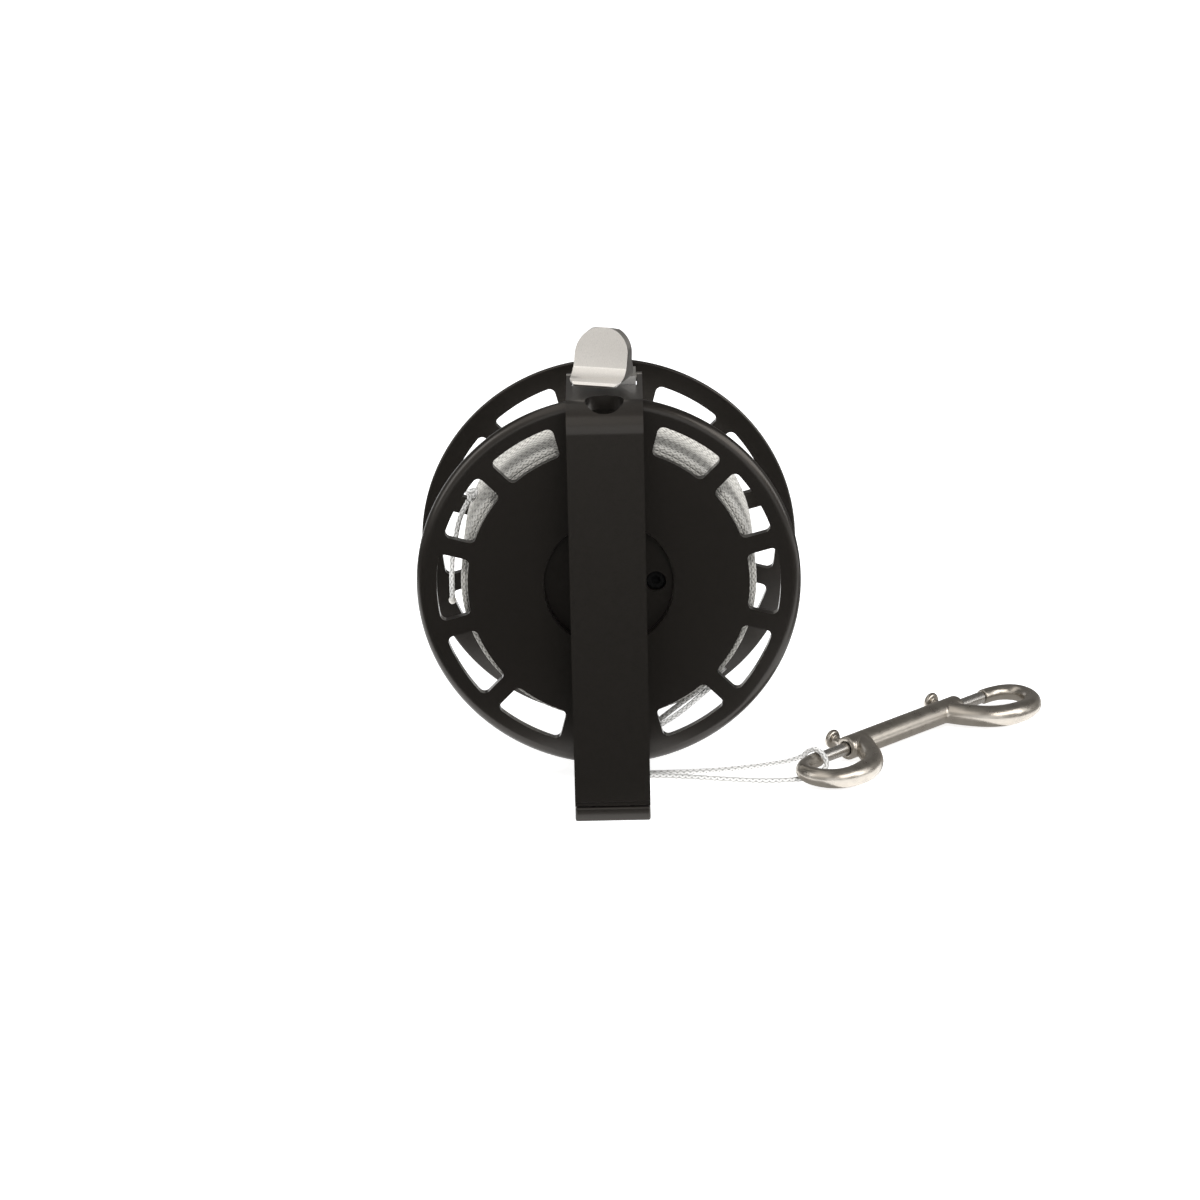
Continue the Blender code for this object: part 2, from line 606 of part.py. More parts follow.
def make_bush(name, outer_face, direction):
    collar_end = HUB_RECESS_DEPTH - FIT_GAP
    collar_start = collar_end - BUSH_COLLAR_THICKNESS
    bore = AXLE_RADIUS + RUNNING_GAP
    profile = [(BUSH_COLLAR_RADIUS, collar_start), (bore, collar_start), (bore, collar_end + BUSH_LENGTH),
               (BUSH_RADIUS, collar_end + BUSH_LENGTH), (BUSH_RADIUS, collar_end),
               (BUSH_COLLAR_RADIUS, collar_end)]
    bush = mesh_object(name, turned(profile, TURNED_STEPS), BLACK_PLASTIC)
    turn = Matrix.Rotation(math.radians(-90 * direction), 4, "X")
    bush.matrix_world = Matrix.Translation(on_spool(outer_face)) @ turn
    return bush


def make_hub_screws():
    sizes = (HUB_SCREW_HEAD_RADIUS, HUB_SCREW_HEAD_HEIGHT, HUB_SCREW_RADIUS, HUB_SCREW_LENGTH)
    head = HUB_SEAT_DEPTH - FIT_GAP - HUB_SCREW_HEAD_HEIGHT
    for name, face, direction in (("front_flange_screw", 0, 1), ("rear_flange_screw", SPOOL_WIDTH, -1)):
        places = [on_spool(face + direction * head, HUB_SCREW_CIRCLE, clock) for clock in HUB_SCREW_CLOCKS]
        place_screws(name, places, (0, direction, 0), sizes)


# The winding knob: a barrel handle that spins on a shoulder screw in the rear flange
KNOB_CIRCLE = 0.041
KNOB_CLOCK = -90
KNOB_RADIUS = 0.0092
KNOB_COLLAR_RADIUS = 0.007
KNOB_COLLAR_HEIGHT = 0.003
SHOULDER_RADIUS = 0.003
KNOB_THREAD_RADIUS = 0.0025
KNOB_HEAD_RADIUS = 0.005
KNOB_HEAD_HEIGHT = 0.0036
KNOB_HEAD_SINK = 0.0008
KNOB_SHAPE_SHARES = ((0.82, 0), (0.93, 0.16), (1, 0.45), (0.97, 0.8), (0.86, 0.95), (0.74, 1))


def make_winding_knob(rear_flange):
    rear = SPOOL_WIDTH
    through = (on_spool(rear + side * HUB_BOSS_DEPTH, KNOB_CIRCLE, KNOB_CLOCK) for side in (-1, 1))
    cut(rear_flange, rod(KNOB_THREAD_RADIUS + FIT_GAP, *through))
    origin = on_spool(0, KNOB_CIRCLE, KNOB_CLOCK)
    place = Matrix.Translation(origin) @ LAY_ALONG_Y
    collar_end = rear + KNOB_COLLAR_HEIGHT
    hole = KNOB_THREAD_RADIUS + FIT_GAP
    ring = [(hole, rear + FIT_GAP), (KNOB_COLLAR_RADIUS, rear + FIT_GAP),
            (KNOB_COLLAR_RADIUS, collar_end), (hole, collar_end)]
    collar = mesh_object("knob_collar", turned(ring, TURNED_STEPS), STAINLESS)
    collar.matrix_world = place
    start = collar_end + RUNNING_GAP
    end = rear + KNOB_REACH
    head_top = end - KNOB_HEAD_SINK
    head_seat = head_top - KNOB_HEAD_HEIGHT
    floor = head_seat - RUNNING_GAP
    bore = SHOULDER_RADIUS + RUNNING_GAP
    profile = [(bore, start)]
    profile += [(KNOB_RADIUS * out, start + (end - start) * up) for out, up in KNOB_SHAPE_SHARES]
    pocket = KNOB_HEAD_RADIUS + RUNNING_GAP
    profile += [(pocket, end), (pocket, floor), (bore, floor)]
    knob = mesh_object("winding_knob", turned(profile, TURNED_STEPS), BLACK_PLASTIC)
    knob.matrix_world = place
    tip = rear - FLANGE_THICKNESS + FIT_GAP
    socket = KNOB_HEAD_RADIUS * SOCKET_SHARE
    socket_floor = head_top - KNOB_HEAD_HEIGHT * SOCKET_DEPTH_SHARE
    screw = [(0, tip), (KNOB_THREAD_RADIUS, tip), (KNOB_THREAD_RADIUS, start), (SHOULDER_RADIUS, start),
             (SHOULDER_RADIUS, head_seat), (KNOB_HEAD_RADIUS, head_seat), (KNOB_HEAD_RADIUS, head_top),
             (socket, head_top), (socket, socket_floor), (0, socket_floor)]
    shoulder_screw = mesh_object("knob_screw", turned(screw, SMALL_STEPS), STAINLESS)
    shoulder_screw.matrix_world = place


# The tension knob: a lobed nut on the axle's end that presses the drag washer on the rear bush
TENSION_RADIUS = 0.0155
TENSION_LOBES = 7
LOBE_CUT_RADIUS = 0.005
LOBE_CUT_REACH = 0.0035
WASHER_THICKNESS = 0.0008
WASHER_RADIUS = 0.009
TENSION_EDGE = 0.001


def make_tension_knob():
    washer_start = SPOOL_WIDTH - HUB_RECESS_DEPTH + FIT_GAP + BUSH_COLLAR_THICKNESS + RUNNING_GAP
    washer_end = washer_start + WASHER_THICKNESS
    bore = AXLE_RADIUS + RUNNING_GAP
    ring = [(bore, washer_start), (WASHER_RADIUS, washer_start), (WASHER_RADIUS, washer_end),
            (bore, washer_end)]
    washer = mesh_object("drag_washer", turned(ring, TURNED_STEPS), BRONZE)
    washer.matrix_world = ON_SPOOL_AXIS
    start = washer_end + RUNNING_GAP
    end = AXLE_REAR - FIT_GAP
    edge = TENSION_EDGE
    profile = [(bore, start), (TENSION_RADIUS - edge, start), (TENSION_RADIUS, start + edge),
               (TENSION_RADIUS, end - edge), (TENSION_RADIUS - edge, end), (bore, end)]
    knob = mesh_object("tension_knob", turned(profile, 2 * TURNED_STEPS), BLACK_PLASTIC)
    knob.matrix_world = ON_SPOOL_AXIS
    for i in range(TENSION_LOBES):
        clock = (i + 1 / 2) * 360 / TENSION_LOBES
        reach = TENSION_RADIUS + LOBE_CUT_REACH
        cut(knob, rod(LOBE_CUT_RADIUS, on_spool(start - OVERRUN, reach, clock),
                      on_spool(end + OVERRUN, reach, clock)))


# The thumb lever: a pad, a base in the arm's slot, a hub on the pin and a housing for the shoe
LEVER_HUB_RADIUS = 0.0032
LEVER_BASE_FRONT = 0.0152
LEVER_BASE_BOTTOM = 0.001
LEVER_BASE_TOP = 0.0044
SHOE_HOUSING_FRONT = 0.0064
SHOE_HOUSING_REAR = 0.0018
SHOE_HOUSING_BOTTOM = 0.0026
SHOE_WIDTH = 0.012
SHOE_FRONT = 0.0009
SHOE_THICKNESS = 0.0024
SHOE_GAP = 0.00065
SHOE_HEIGHT = 0.0042
SPRING_DEPTH = -0.0052
SPRING_RADIUS = 0.0017
SPRING_WIRE = 0.0005
SPRING_HEIGHT = 0.0039
SPRING_TURNS = 3
SPRING_POINTS = 8
SPRING_POCKET_RADIUS = 0.0024
PAD_WIDTH = 0.0197
PAD_LENGTH = 0.0175
PAD_HEIGHT = 0.0191
PAD_REAR = 0.0102
PAD_BOTTOM = 0.0037
PAD_YAW = -18
PAD_SHIFT = 0.0008
PAD_TOP_ROUNDING = 0.0092
PAD_TOE_ROUNDING = 0.0045
PAD_PROFILE_SHARES = ((0, 0), (0.97, 0), (1, 0.055), (0.965, 0.105), (0.82, 0.13), (0.7, 0.17), (0.62, 0.25),
                      (0.583, 0.347), (0.326, 1), (0.069, 0.915), (0.229, 0.40), (0.143, 0.148), (0, 0.05))


def lever_base_outline():
    """The base, hub and shoe housing from the side, in (Y, Z) about the pivot."""
    front, top = -LEVER_BASE_FRONT, LEVER_BASE_TOP
    housing_front, housing_rear = -SHOE_HOUSING_FRONT, -SHOE_HOUSING_REAR
    points = [(front, top), (front, LEVER_BASE_BOTTOM), (housing_front, LEVER_BASE_BOTTOM),
              (housing_front, -SHOE_HOUSING_BOTTOM), (housing_rear, -SHOE_HOUSING_BOTTOM)]
    points += arc((0, 0), LEVER_HUB_RADIUS, -100, 90, 8)
    points += [(housing_rear, top)]
    return points


def pad_mesh():
    """The thumb pad: a scooped side profile trimmed to a round-topped face, about the pivot."""
    side = []
    for ahead, up in PAD_PROFILE_SHARES:
        side.append((-PAD_REAR - PAD_LENGTH * ahead, PAD_BOTTOM + PAD_HEIGHT * up))
    pad = mesh_object("pad", moved(flat_plate(side, PAD_WIDTH + OVERRUN), STAND_YZ))
    half, top = PAD_WIDTH / 2, PAD_BOTTOM + PAD_HEIGHT
    high, low = PAD_TOP_ROUNDING, PAD_TOE_ROUNDING
    face = arc((half - high, top - high), high, 0, 90, 7) + arc((high - half, top - high), high, 90, 180, 7)
    face += arc((low - half, PAD_BOTTOM + low), low, 180, 270, 4)
    face += arc((half - low, PAD_BOTTOM + low), low, 270, 360, 4)
    stand = Matrix.Rotation(math.radians(90), 4, "X")
    prism = flat_plate(face, 4 * (PAD_LENGTH + PAD_REAR))
    boolean(pad, moved(prism, stand), "INTERSECT")
    mesh = closed_mesh(pad)
    turn_place = Vector((0, -PAD_REAR - PAD_LENGTH / 2, 0))
    yaw = Matrix.Rotation(math.radians(PAD_YAW), 4, "Z")
    beside = Vector((-PAD_SHIFT, 0, 0))
    return moved(mesh, Matrix.Translation(turn_place + beside) @ yaw @ Matrix.Translation(-turn_place))


def make_thumb_lever():
    at_pivot = Matrix.Translation(PIVOT)
    base = moved(flat_plate(lever_base_outline(), LEVER_WIDTH), at_pivot @ STAND_YZ)
    lever = mesh_object("thumb_lever", base, STAINLESS)
    placed_on_axis(lever, PIVOT)
    join(lever, moved(pad_mesh(), at_pivot))
    reach = Vector((HALF_BAR + OVERRUN, 0, 0))
    cut(lever, rod(LEVER_PIN_RADIUS + RUNNING_GAP, PIVOT - reach, PIVOT + reach))
    shoe_z = AXIS_HEIGHT + FLANGE_RADIUS + SHOE_GAP
    half = SHOE_WIDTH / 2
    low = Vector((-half, SPOOL_FRONT_Y + SHOE_FRONT, shoe_z))
    high = Vector((half, SPOOL_FRONT_Y + SHOE_FRONT + SHOE_THICKNESS, shoe_z + SHOE_HEIGHT))
    gap = Vector((FIT_GAP, FIT_GAP, FIT_GAP))
    cut(lever, block(low - gap, high + gap))
    shoe = mesh_object("brake_shoe", block(low, high), RUBBER)
    placed_on_axis(shoe, PIVOT)
    seat_z = ARM_TOP_Z - POCKET_DEPTH + FIT_GAP
    spring_y = SPOOL_FRONT_Y + SPRING_DEPTH
    top_z = seat_z + SPRING_HEIGHT + SPRING_WIRE + FIT_GAP
    cut(lever, rod(SPRING_POCKET_RADIUS, (0, spring_y, seat_z), (0, spring_y, top_z)))
    coil = helix(SPRING_RADIUS, SPRING_HEIGHT, SPRING_TURNS, SPRING_POINTS)
    spring = mesh_object("lever_spring", tube(coil, SPRING_WIRE, 1), STAINLESS)
    spring.location = (0, spring_y, seat_z + SPRING_WIRE / 2)
    side = Vector((HALF_BAR, 0, 0))
    mesh_object("lever_pin", rod(LEVER_PIN_RADIUS, PIVOT - side, PIVOT + side), STAINLESS)


# The line: packed layers as a plain core, a wound outer layer, a knot with its tail, and a free loop
WINDING_TURNS = 17
WINDING_POINTS = 24
WINDING_SIDE_GAP = 0.0014
CORE_SIDE_GAP = 0.0003
LEAD_START_CLOCK = -47.8


def line_pack_core():
    outer = (LINE_PACK_RADIUS - LINE_DIAMETER / 2) * math.cos(math.pi / WINDING_POINTS)
    outer -= LINE_DIAMETER / 2 + FIT_GAP
    inner = DRUM_RADIUS + FIT_GAP
    start = FLANGE_THICKNESS + CORE_SIDE_GAP
    end = SPOOL_WIDTH - start
    ring = [(outer, end), (outer, start), (inner, start), (inner, end)]
    core = mesh_object("line_core", turned(ring), WHITE_LINE)
    core.matrix_world = ON_SPOOL_AXIS


def winding_points():
    """The outer layer: one helix over the core that starts where the free loop leaves it."""
    radius = LINE_PACK_RADIUS - LINE_DIAMETER / 2
    start = FLANGE_THICKNESS + WINDING_SIDE_GAP
    end = SPOOL_WIDTH - start
    count = WINDING_TURNS * WINDING_POINTS
    points = []
    for i in range(count + 1):
        angle = math.radians(LEAD_START_CLOCK) + 2 * math.pi * i / WINDING_POINTS
        depth = start + (end - start) * i / count
        points.append(Vector((radius * math.cos(angle), -radius * math.sin(angle), depth)))
    return points


def least_gap_to_itself(points, diameter, skip):
    """The least clear distance between stretches of a tube that are more than skip points apart."""
    least = math.inf
    for i, first in enumerate(points):
        for second in points[i + skip:]:
            least = min(least, (first - second).length)
    return least - diameter


def make_winding():
    points = winding_points()
    winding = mesh_object("line_winding", tube(points, LINE_DIAMETER, 1), WHITE_LINE)
    winding.matrix_world = ON_SPOOL_AXIS
    gap = least_gap_to_itself(points, LINE_DIAMETER, WINDING_POINTS // 2)
    print(f"line winding, least gap to itself: {gap * 1000:.2f} mm")


KNOT_RADIUS = 0.0024
KNOT_TURNS = 8.555
TAIL_BEAD_RADIUS = 0.0015

# The tail's route from the knot, as (X, depth, height over the ground)
TAIL_ROUTE = ((-0.0511, 0.0296, 0.1016), (-0.0545, 0.0296, 0.0948), (-0.0564, 0.0297, 0.0870),
              (-0.0578, 0.0298, 0.0790), (-0.0582, 0.0300, 0.0705), (-0.0582, 0.0302, 0.0630))

# The free loop's route, as (X, depth, height): pack, guide, ground, round the hook's tip, and back
LOOP_ROUTE = ((0.0374, 0.0050, 0.0363), (0.0245, 0.0056, 0.0253), (0.0120, 0.0064, 0.0171),
              (0.0045, 0.0070, 0.0108), (0.0016, 0.0072, 0.0076), (0.0005, 0.0073, 0.0048),
              (0.0015, 0.0073, 0.0021), (0.0044, 0.0072, 0.0011), (0.0090, 0.0069, 0.0010),
              (0.0140, 0.0063, 0.0010), (0.0220, 0.0052, 0.0010), (0.0320, 0.0032, 0.0010),
              (0.0430, 0.0006, 0.0010), (0.0540, -0.0014, 0.0010), (0.0620, -0.0016, 0.0010),
              (0.0680, -0.0008, 0.0010), (0.0730, 0.0005, 0.0012), (0.0769, 0.0018, 0.0024),
              (0.0789, 0.0034, 0.0053), (0.0777, 0.0048, 0.0084), (0.0751, 0.0070, 0.0097),
              (0.0726, 0.0094, 0.0084), (0.0700, 0.0111, 0.0057), (0.0655, 0.0123, 0.0036),
              (0.0600, 0.0127, 0.0025), (0.0540, 0.0124, 0.0018), (0.0430, 0.0112, 0.0012),
              (0.0320, 0.0100, 0.0010), (0.0220, 0.0093, 0.0010), (0.0140, 0.0090, 0.0010),
              (0.0090, 0.0093, 0.0010), (0.0044, 0.0096, 0.0011), (0.0015, 0.0097, 0.0021),
              (0.0005, 0.0097, 0.0048), (0.0016, 0.0098, 0.0076), (0.0045, 0.0100, 0.0106),
              (0.0120, 0.0104, 0.0169), (0.0240, 0.0110, 0.0262), (0.0353, 0.0114, 0.0345),
              (0.0419, 0.0117, 0.0409))
LOOP_STEP = 0.0040
TAIL_STEP = 0.004


def smooth_curve(route, step):
    """Even points on a Catmull-Rom curve through a route's own points."""
    points = [Vector(place) for place in route]
    points = [2 * points[0] - points[1]] + points + [2 * points[-1] - points[-2]]
    fine = []
    for i in range(1, len(points) - 2):
        a, b, c, d = points[i - 1:i + 3]
        for k in range(24):
            t = k / 24
            fine.append((2 * b + (c - a) * t + (2 * a - 5 * b + 4 * c - d) * t ** 2
                         + (3 * b - a - 3 * c + d) * t ** 3) / 2)
    fine.append(points[-2])
    travelled = [0]
    for first, second in zip(fine, fine[1:]):
        travelled.append(travelled[-1] + (second - first).length)
    count = max(2, round(travelled[-1] / step))
    even = []
    at = 0
    for k in range(count + 1):
        goal = travelled[-1] * k / count
        while at < len(fine) - 2 and travelled[at + 1] < goal:
            at += 1
        share = (goal - travelled[at]) / (travelled[at + 1] - travelled[at])
        even.append(fine[at].lerp(fine[at + 1], share))
    return even


def in_world(route):
    return [(x, SPOOL_FRONT_Y + depth, height) for x, depth, height in route]


def make_free_line():
    loop = smooth_curve(in_world(LOOP_ROUTE), LOOP_STEP)
    mesh_object("line_loop", tube(loop, LINE_DIAMETER), WHITE_LINE)
    tail = smooth_curve(in_world(TAIL_ROUTE), TAIL_STEP)
    bead_share = 2 * TAIL_BEAD_RADIUS / LINE_DIAMETER
    radii = [1] * len(tail) + [bead_share, bead_share, 1]
    way = (tail[-1] - tail[-2]).normalized()
    tail += [tail[-1] + way * TAIL_BEAD_RADIUS * (k + 1) / 2 for k in range(3)]
    line_tail = mesh_object("line_tail", tube(tail, LINE_DIAMETER, 2, radii), WHITE_LINE)
    placed_on_axis(line_tail, SPOOL_AXIS)
    work = bmesh.new()
    bmesh.ops.create_icosphere(work, subdivisions=2, radius=KNOT_RADIUS)
    first, last = FLANGE_THICKNESS + WINDING_SIDE_GAP, SPOOL_WIDTH - FLANGE_THICKNESS - WINDING_SIDE_GAP
    depth = first + (last - first) * KNOT_TURNS / WINDING_TURNS
    flat = (LINE_PACK_RADIUS - LINE_DIAMETER / 2) * math.cos(math.pi / WINDING_POINTS)
    radius = flat + LINE_DIAMETER / 2 + FIT_GAP + KNOT_RADIUS
    centre = on_spool(depth, radius, LEAD_START_CLOCK + 360 * KNOT_TURNS)
    bmesh.ops.translate(work, vec=centre, verts=work.verts)
    mesh = bpy.data.meshes.new("knot")
    work.to_mesh(mesh)
    work.free()
    placed_on_axis(mesh_object("line_knot", mesh, WHITE_LINE), SPOOL_AXIS)


# The double-ended snap: a bored barrel with two hooks, a sprung gate rod in each end and its stud
SNAP_MIDDLE_X = 0.1090
SNAP_MIDDLE_DEPTH = 0.0410
SNAP_TURN = 45
SNAP_TILT = 3.4
SNAP_BARREL_RADIUS = 0.0045
SNAP_HALF_BARREL = 0.0315
SNAP_BORE_RADIUS = 0.0027
SNAP_BORE_START = 0.0060
HOOK_ROOT = 0.0240
HOOK_LENGTH = 0.0360
HOOK_BULGE = 0.0196
HOOK_WIRE_RADIUS = 0.0041
HOOK_ROUTE_SHARES = ((0, 0.05), (0.11, 0.43), (0.25, 0.755), (0.42, 0.94), (0.6, 1), (0.78, 0.97),
                     (0.92, 0.815), (1, 0.56), (0.995, 0.295), (0.9, 0.105), (0.765, 0.02), (0.64, 0))
HOOK_TIP = 0.0463
HOOK_THIN_FROM = 0.4
HOOK_THIN_SHARE = 0.70
HOOK_POINTS_STEP = 0.0042
GATE_RADIUS = 0.0023
GATE_START = 0.0180
GATE_TRAVEL = 0.0100
STUD_PLACE = 0.0280
STUD_SHANK_RADIUS = 0.0014
STUD_HEAD_RADIUS = 0.0038
STUD_HEAD_THICKNESS = 0.0024
STUD_FACE_SHARE = 0.8
STUD_REACH = 0.0110
SLOT_SIDE_GAP = 0.0006
GATE_SPRING_RADIUS = 0.0018
GATE_SPRING_WIRE = 0.0006
GATE_SPRING_TURNS = 5
GATE_SPRING_POINTS = 8

SNAP_HEIGHT = HOOK_WIRE_RADIUS + FIT_GAP + HOOK_BULGE * math.sin(math.radians(SNAP_TILT))
SNAP_FRAME = (Matrix.Translation((SNAP_MIDDLE_X, SPOOL_FRONT_Y + SNAP_MIDDLE_DEPTH, SNAP_HEIGHT))
              @ Matrix.Rotation(math.radians(SNAP_TURN), 4, "Z")
              @ Matrix.Rotation(math.radians(SNAP_TILT), 4, "X"))


def hook_mesh(end):
    """One hook's wire, out of the barrel's side, round the eye and back to the axis."""
    route = []
    for ahead, out in HOOK_ROUTE_SHARES:
        route.append((end * (HOOK_ROOT + HOOK_LENGTH * ahead), -HOOK_BULGE * out, 0))
    points = smooth_curve(route, HOOK_POINTS_STEP) + [(end * HOOK_TIP, 0, 0)]
    last = len(points) - 1
    thinner = [min(1, 2 * max(0, i / last - HOOK_THIN_FROM)) for i in range(last + 1)]
    radii = [1 - (1 - HOOK_THIN_SHARE) * share for share in thinner]
    return tube(points, 2 * HOOK_WIRE_RADIUS, 2, radii)


def make_snap():
    half = SNAP_HALF_BARREL
    barrel = rod(SNAP_BARREL_RADIUS, (-half, 0, 0), (half, 0, 0), 24)
    body = mesh_object("snap_body", moved(barrel, SNAP_FRAME), STAINLESS)
    slot_half = STUD_SHANK_RADIUS + SLOT_SIDE_GAP
    for end, side in ((-1, "left"), (1, "right")):
        join(body, moved(hook_mesh(end), SNAP_FRAME))
        bore = rod(SNAP_BORE_RADIUS, (end * SNAP_BORE_START, 0, 0), (end * (half + OVERRUN), 0, 0))
        cut(body, moved(bore, SNAP_FRAME))
        slot_ends = sorted((end * (STUD_PLACE + slot_half), end * (STUD_PLACE - GATE_TRAVEL - slot_half)))
        slot = block((slot_ends[0], 0, -slot_half), (slot_ends[1], SNAP_BARREL_RADIUS + OVERRUN, slot_half))
        cut(body, moved(slot, SNAP_FRAME))
        gate = rod(GATE_RADIUS, (end * GATE_START, 0, 0), (end * (HOOK_TIP - FIT_GAP), 0, 0))
        mesh_object(f"snap_gate_{side}", moved(gate, SNAP_FRAME), STAINLESS)
        stud = turned([(0, GATE_RADIUS + FIT_GAP), (STUD_SHANK_RADIUS, GATE_RADIUS + FIT_GAP),
                       (STUD_SHANK_RADIUS, STUD_REACH - STUD_HEAD_THICKNESS),
                       (STUD_HEAD_RADIUS * STUD_FACE_SHARE, STUD_REACH - STUD_HEAD_THICKNESS),
                       (STUD_HEAD_RADIUS, STUD_REACH - STUD_HEAD_THICKNESS / 2),
                       (STUD_HEAD_RADIUS * STUD_FACE_SHARE, STUD_REACH), (0, STUD_REACH)], SMALL_STEPS)
        place = SNAP_FRAME @ Matrix.Translation((end * STUD_PLACE, 0, 0)) @ LAY_ALONG_Y
        mesh_object(f"snap_stud_{side}", moved(stud, place), STAINLESS)
        spring_start = SNAP_BORE_START + FIT_GAP + GATE_SPRING_WIRE / 2
        spring_length = GATE_START - FIT_GAP - GATE_SPRING_WIRE / 2 - spring_start
        coil = helix(GATE_SPRING_RADIUS, spring_length, GATE_SPRING_TURNS, GATE_SPRING_POINTS)
        turn = Matrix.Rotation(math.radians(90 * end), 4, "Y")
        place = SNAP_FRAME @ Matrix.Translation((end * spring_start, 0, 0)) @ turn
        wire = tube(coil, GATE_SPRING_WIRE, 0)
        mesh_object(f"snap_spring_{side}", moved(wire, place), STAINLESS)


make_grip_strap()
make_inner_plate()
make_foot_arm()
make_frame_screws()
make_line_guide()
make_axle()
make_flange("front_flange", 0, 1)
rear = make_flange("rear_flange", SPOOL_WIDTH, -1)
make_spool_core()
make_bush("front_bush", 0, 1)
make_bush("rear_bush", SPOOL_WIDTH, -1)
make_hub_screws()
make_winding_knob(rear)
make_tension_knob()
make_thumb_lever()
line_pack_core()
make_winding()
make_free_line()
make_snap()
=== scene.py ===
"""The dive reel's looks: camera and studio, the line, the flanges, the grip, the lever and the snap."""
import json
import math

import bmesh
import bpy
from mathutils import Matrix, Vector, noise

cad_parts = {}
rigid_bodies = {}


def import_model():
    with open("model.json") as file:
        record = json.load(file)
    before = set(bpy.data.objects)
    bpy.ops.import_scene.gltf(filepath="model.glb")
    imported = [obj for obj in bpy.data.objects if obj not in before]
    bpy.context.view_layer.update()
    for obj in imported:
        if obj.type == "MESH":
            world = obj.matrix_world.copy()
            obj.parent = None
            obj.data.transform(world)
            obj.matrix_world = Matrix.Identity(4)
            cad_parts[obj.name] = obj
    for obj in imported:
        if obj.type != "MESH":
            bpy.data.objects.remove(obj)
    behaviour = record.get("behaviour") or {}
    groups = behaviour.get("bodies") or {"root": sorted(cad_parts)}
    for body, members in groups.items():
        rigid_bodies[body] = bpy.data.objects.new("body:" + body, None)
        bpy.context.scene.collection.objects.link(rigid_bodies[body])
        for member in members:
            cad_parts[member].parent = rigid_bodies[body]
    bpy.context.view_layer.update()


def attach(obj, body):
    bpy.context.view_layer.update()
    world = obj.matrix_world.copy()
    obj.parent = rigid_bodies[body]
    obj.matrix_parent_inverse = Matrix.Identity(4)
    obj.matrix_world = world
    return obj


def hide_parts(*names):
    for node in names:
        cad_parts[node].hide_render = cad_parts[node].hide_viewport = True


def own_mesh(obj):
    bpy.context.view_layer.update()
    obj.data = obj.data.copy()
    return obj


for started_with in list(bpy.data.objects):
    bpy.data.objects.remove(started_with)
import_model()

# The camera stands where the photograph's did: just off the strap's axis and 18 degrees up, with a slight
# roll. Its axes come from a fit to the two flange rims.
CAMERA_PLACE = (0.009506, -1.58647, 0.57738)
CAMERA_RIGHT = (0.99976983, 0.00126295, -0.02141705)
CAMERA_UP = (0.01998468, 0.30828312, 0.95108471)
CAMERA_BACK = (0.00780368, -0.95129382, 0.30818692)
LENS_PER_WIDTH = 4510 / 1200
SENSOR_WIDTH = 36

camera_data = bpy.data.cameras.new("camera")
camera_data.sensor_width = SENSOR_WIDTH
camera_data.lens = SENSOR_WIDTH * LENS_PER_WIDTH
camera_data.clip_start = 0.05
camera = bpy.data.objects.new("camera", camera_data)
turn = Matrix((CAMERA_RIGHT, CAMERA_UP, CAMERA_BACK)).transposed().to_4x4()
camera.matrix_world = Matrix.Translation(CAMERA_PLACE) @ turn
bpy.context.collection.objects.link(camera)
bpy.context.scene.camera = camera
bpy.context.scene.view_settings.view_transform = "Standard"


# The studio: a white surround that the camera and the metal see, a dimmer one that lights the object, and a
# white floor. Four soft lamps stand over, behind and beside the reel. The cards round it are seen only by
# reflections, as the light and dark shapes that metal shows.
SURROUND_SEEN = 1.0
SURROUND_LIGHT = 0.32
FLOOR_HALF = 6
FLOOR_TONE = 0.9
FLOOR_GLOW = 0.75
WHITE = (1, 1, 1, 1)
CARD_WARMTH_SHARES = (1, 0.965, 0.92)
CARD_LIFT = 0.0004
WALL_TOP = 1.1
PAD_CARD_TOP = 1.05
LAMP_TARGET = (0.02, 0, 0.08)


def place_node(tree, kind, sockets, **settings):
    """Adds a node to a tree. Each named socket gets a value, or a link from another node's output."""
    made = tree.nodes.new(kind)
    for setting, value in settings.items():
        setattr(made, setting, value)
    for socket, value in sockets.items():
        if isinstance(value, bpy.types.NodeSocket):
            tree.links.new(value, made.inputs[socket])
        else:
            made.inputs[socket].default_value = value
    return made


def level(left, front, right, back, height=CARD_LIFT):
    """The corners of a rectangle that lies level, by default just over the floor."""
    return [(left, front, height), (right, front, height), (right, back, height), (left, back, height)]


def upright(start, end, low, high):
    """The corners of a rectangle that stands on the line between two places."""
    return [(*start, low), (*end, low), (*end, high), (*start, high)]


def four_sided(name, corners, look):
    mesh = bpy.data.meshes.new(name)
    mesh.from_pydata(corners, [], [(0, 1, 2, 3)])
    mesh.materials.append(look)
    made = bpy.data.objects.new(name, mesh)
    bpy.context.collection.objects.link(made)
    return made


def card(name, tone, corners):
    """A plain card that only reflections see."""
    look = bpy.data.materials.new(name)
    look.use_nodes = True
    look.node_tree.nodes.clear()
    colour = [tone * share for share in CARD_WARMTH_SHARES]
    glow = place_node(look.node_tree, "ShaderNodeEmission", {"Color": (*colour, 1)})
    place_node(look.node_tree, "ShaderNodeOutputMaterial", {0: glow.outputs[0]})
    made = four_sided(name, corners, look)
    made.visible_camera = made.visible_diffuse = made.visible_shadow = made.visible_transmission = False


def lamp(name, place, target, size, power, mirrored=True):
    """A soft rectangular lamp that faces the target."""
    data = bpy.data.lights.new(name, "AREA")
    data.shape = "RECTANGLE"
    data.size, data.size_y = size
    data.energy = power
    lit = bpy.data.objects.new(name, data)
    way = Vector(target) - Vector(place)
    lit.matrix_world = Matrix.Translation(place) @ way.to_track_quat("-Z", "Y").to_matrix().to_4x4()
    bpy.context.collection.objects.link(lit)
    lit.visible_glossy = mirrored


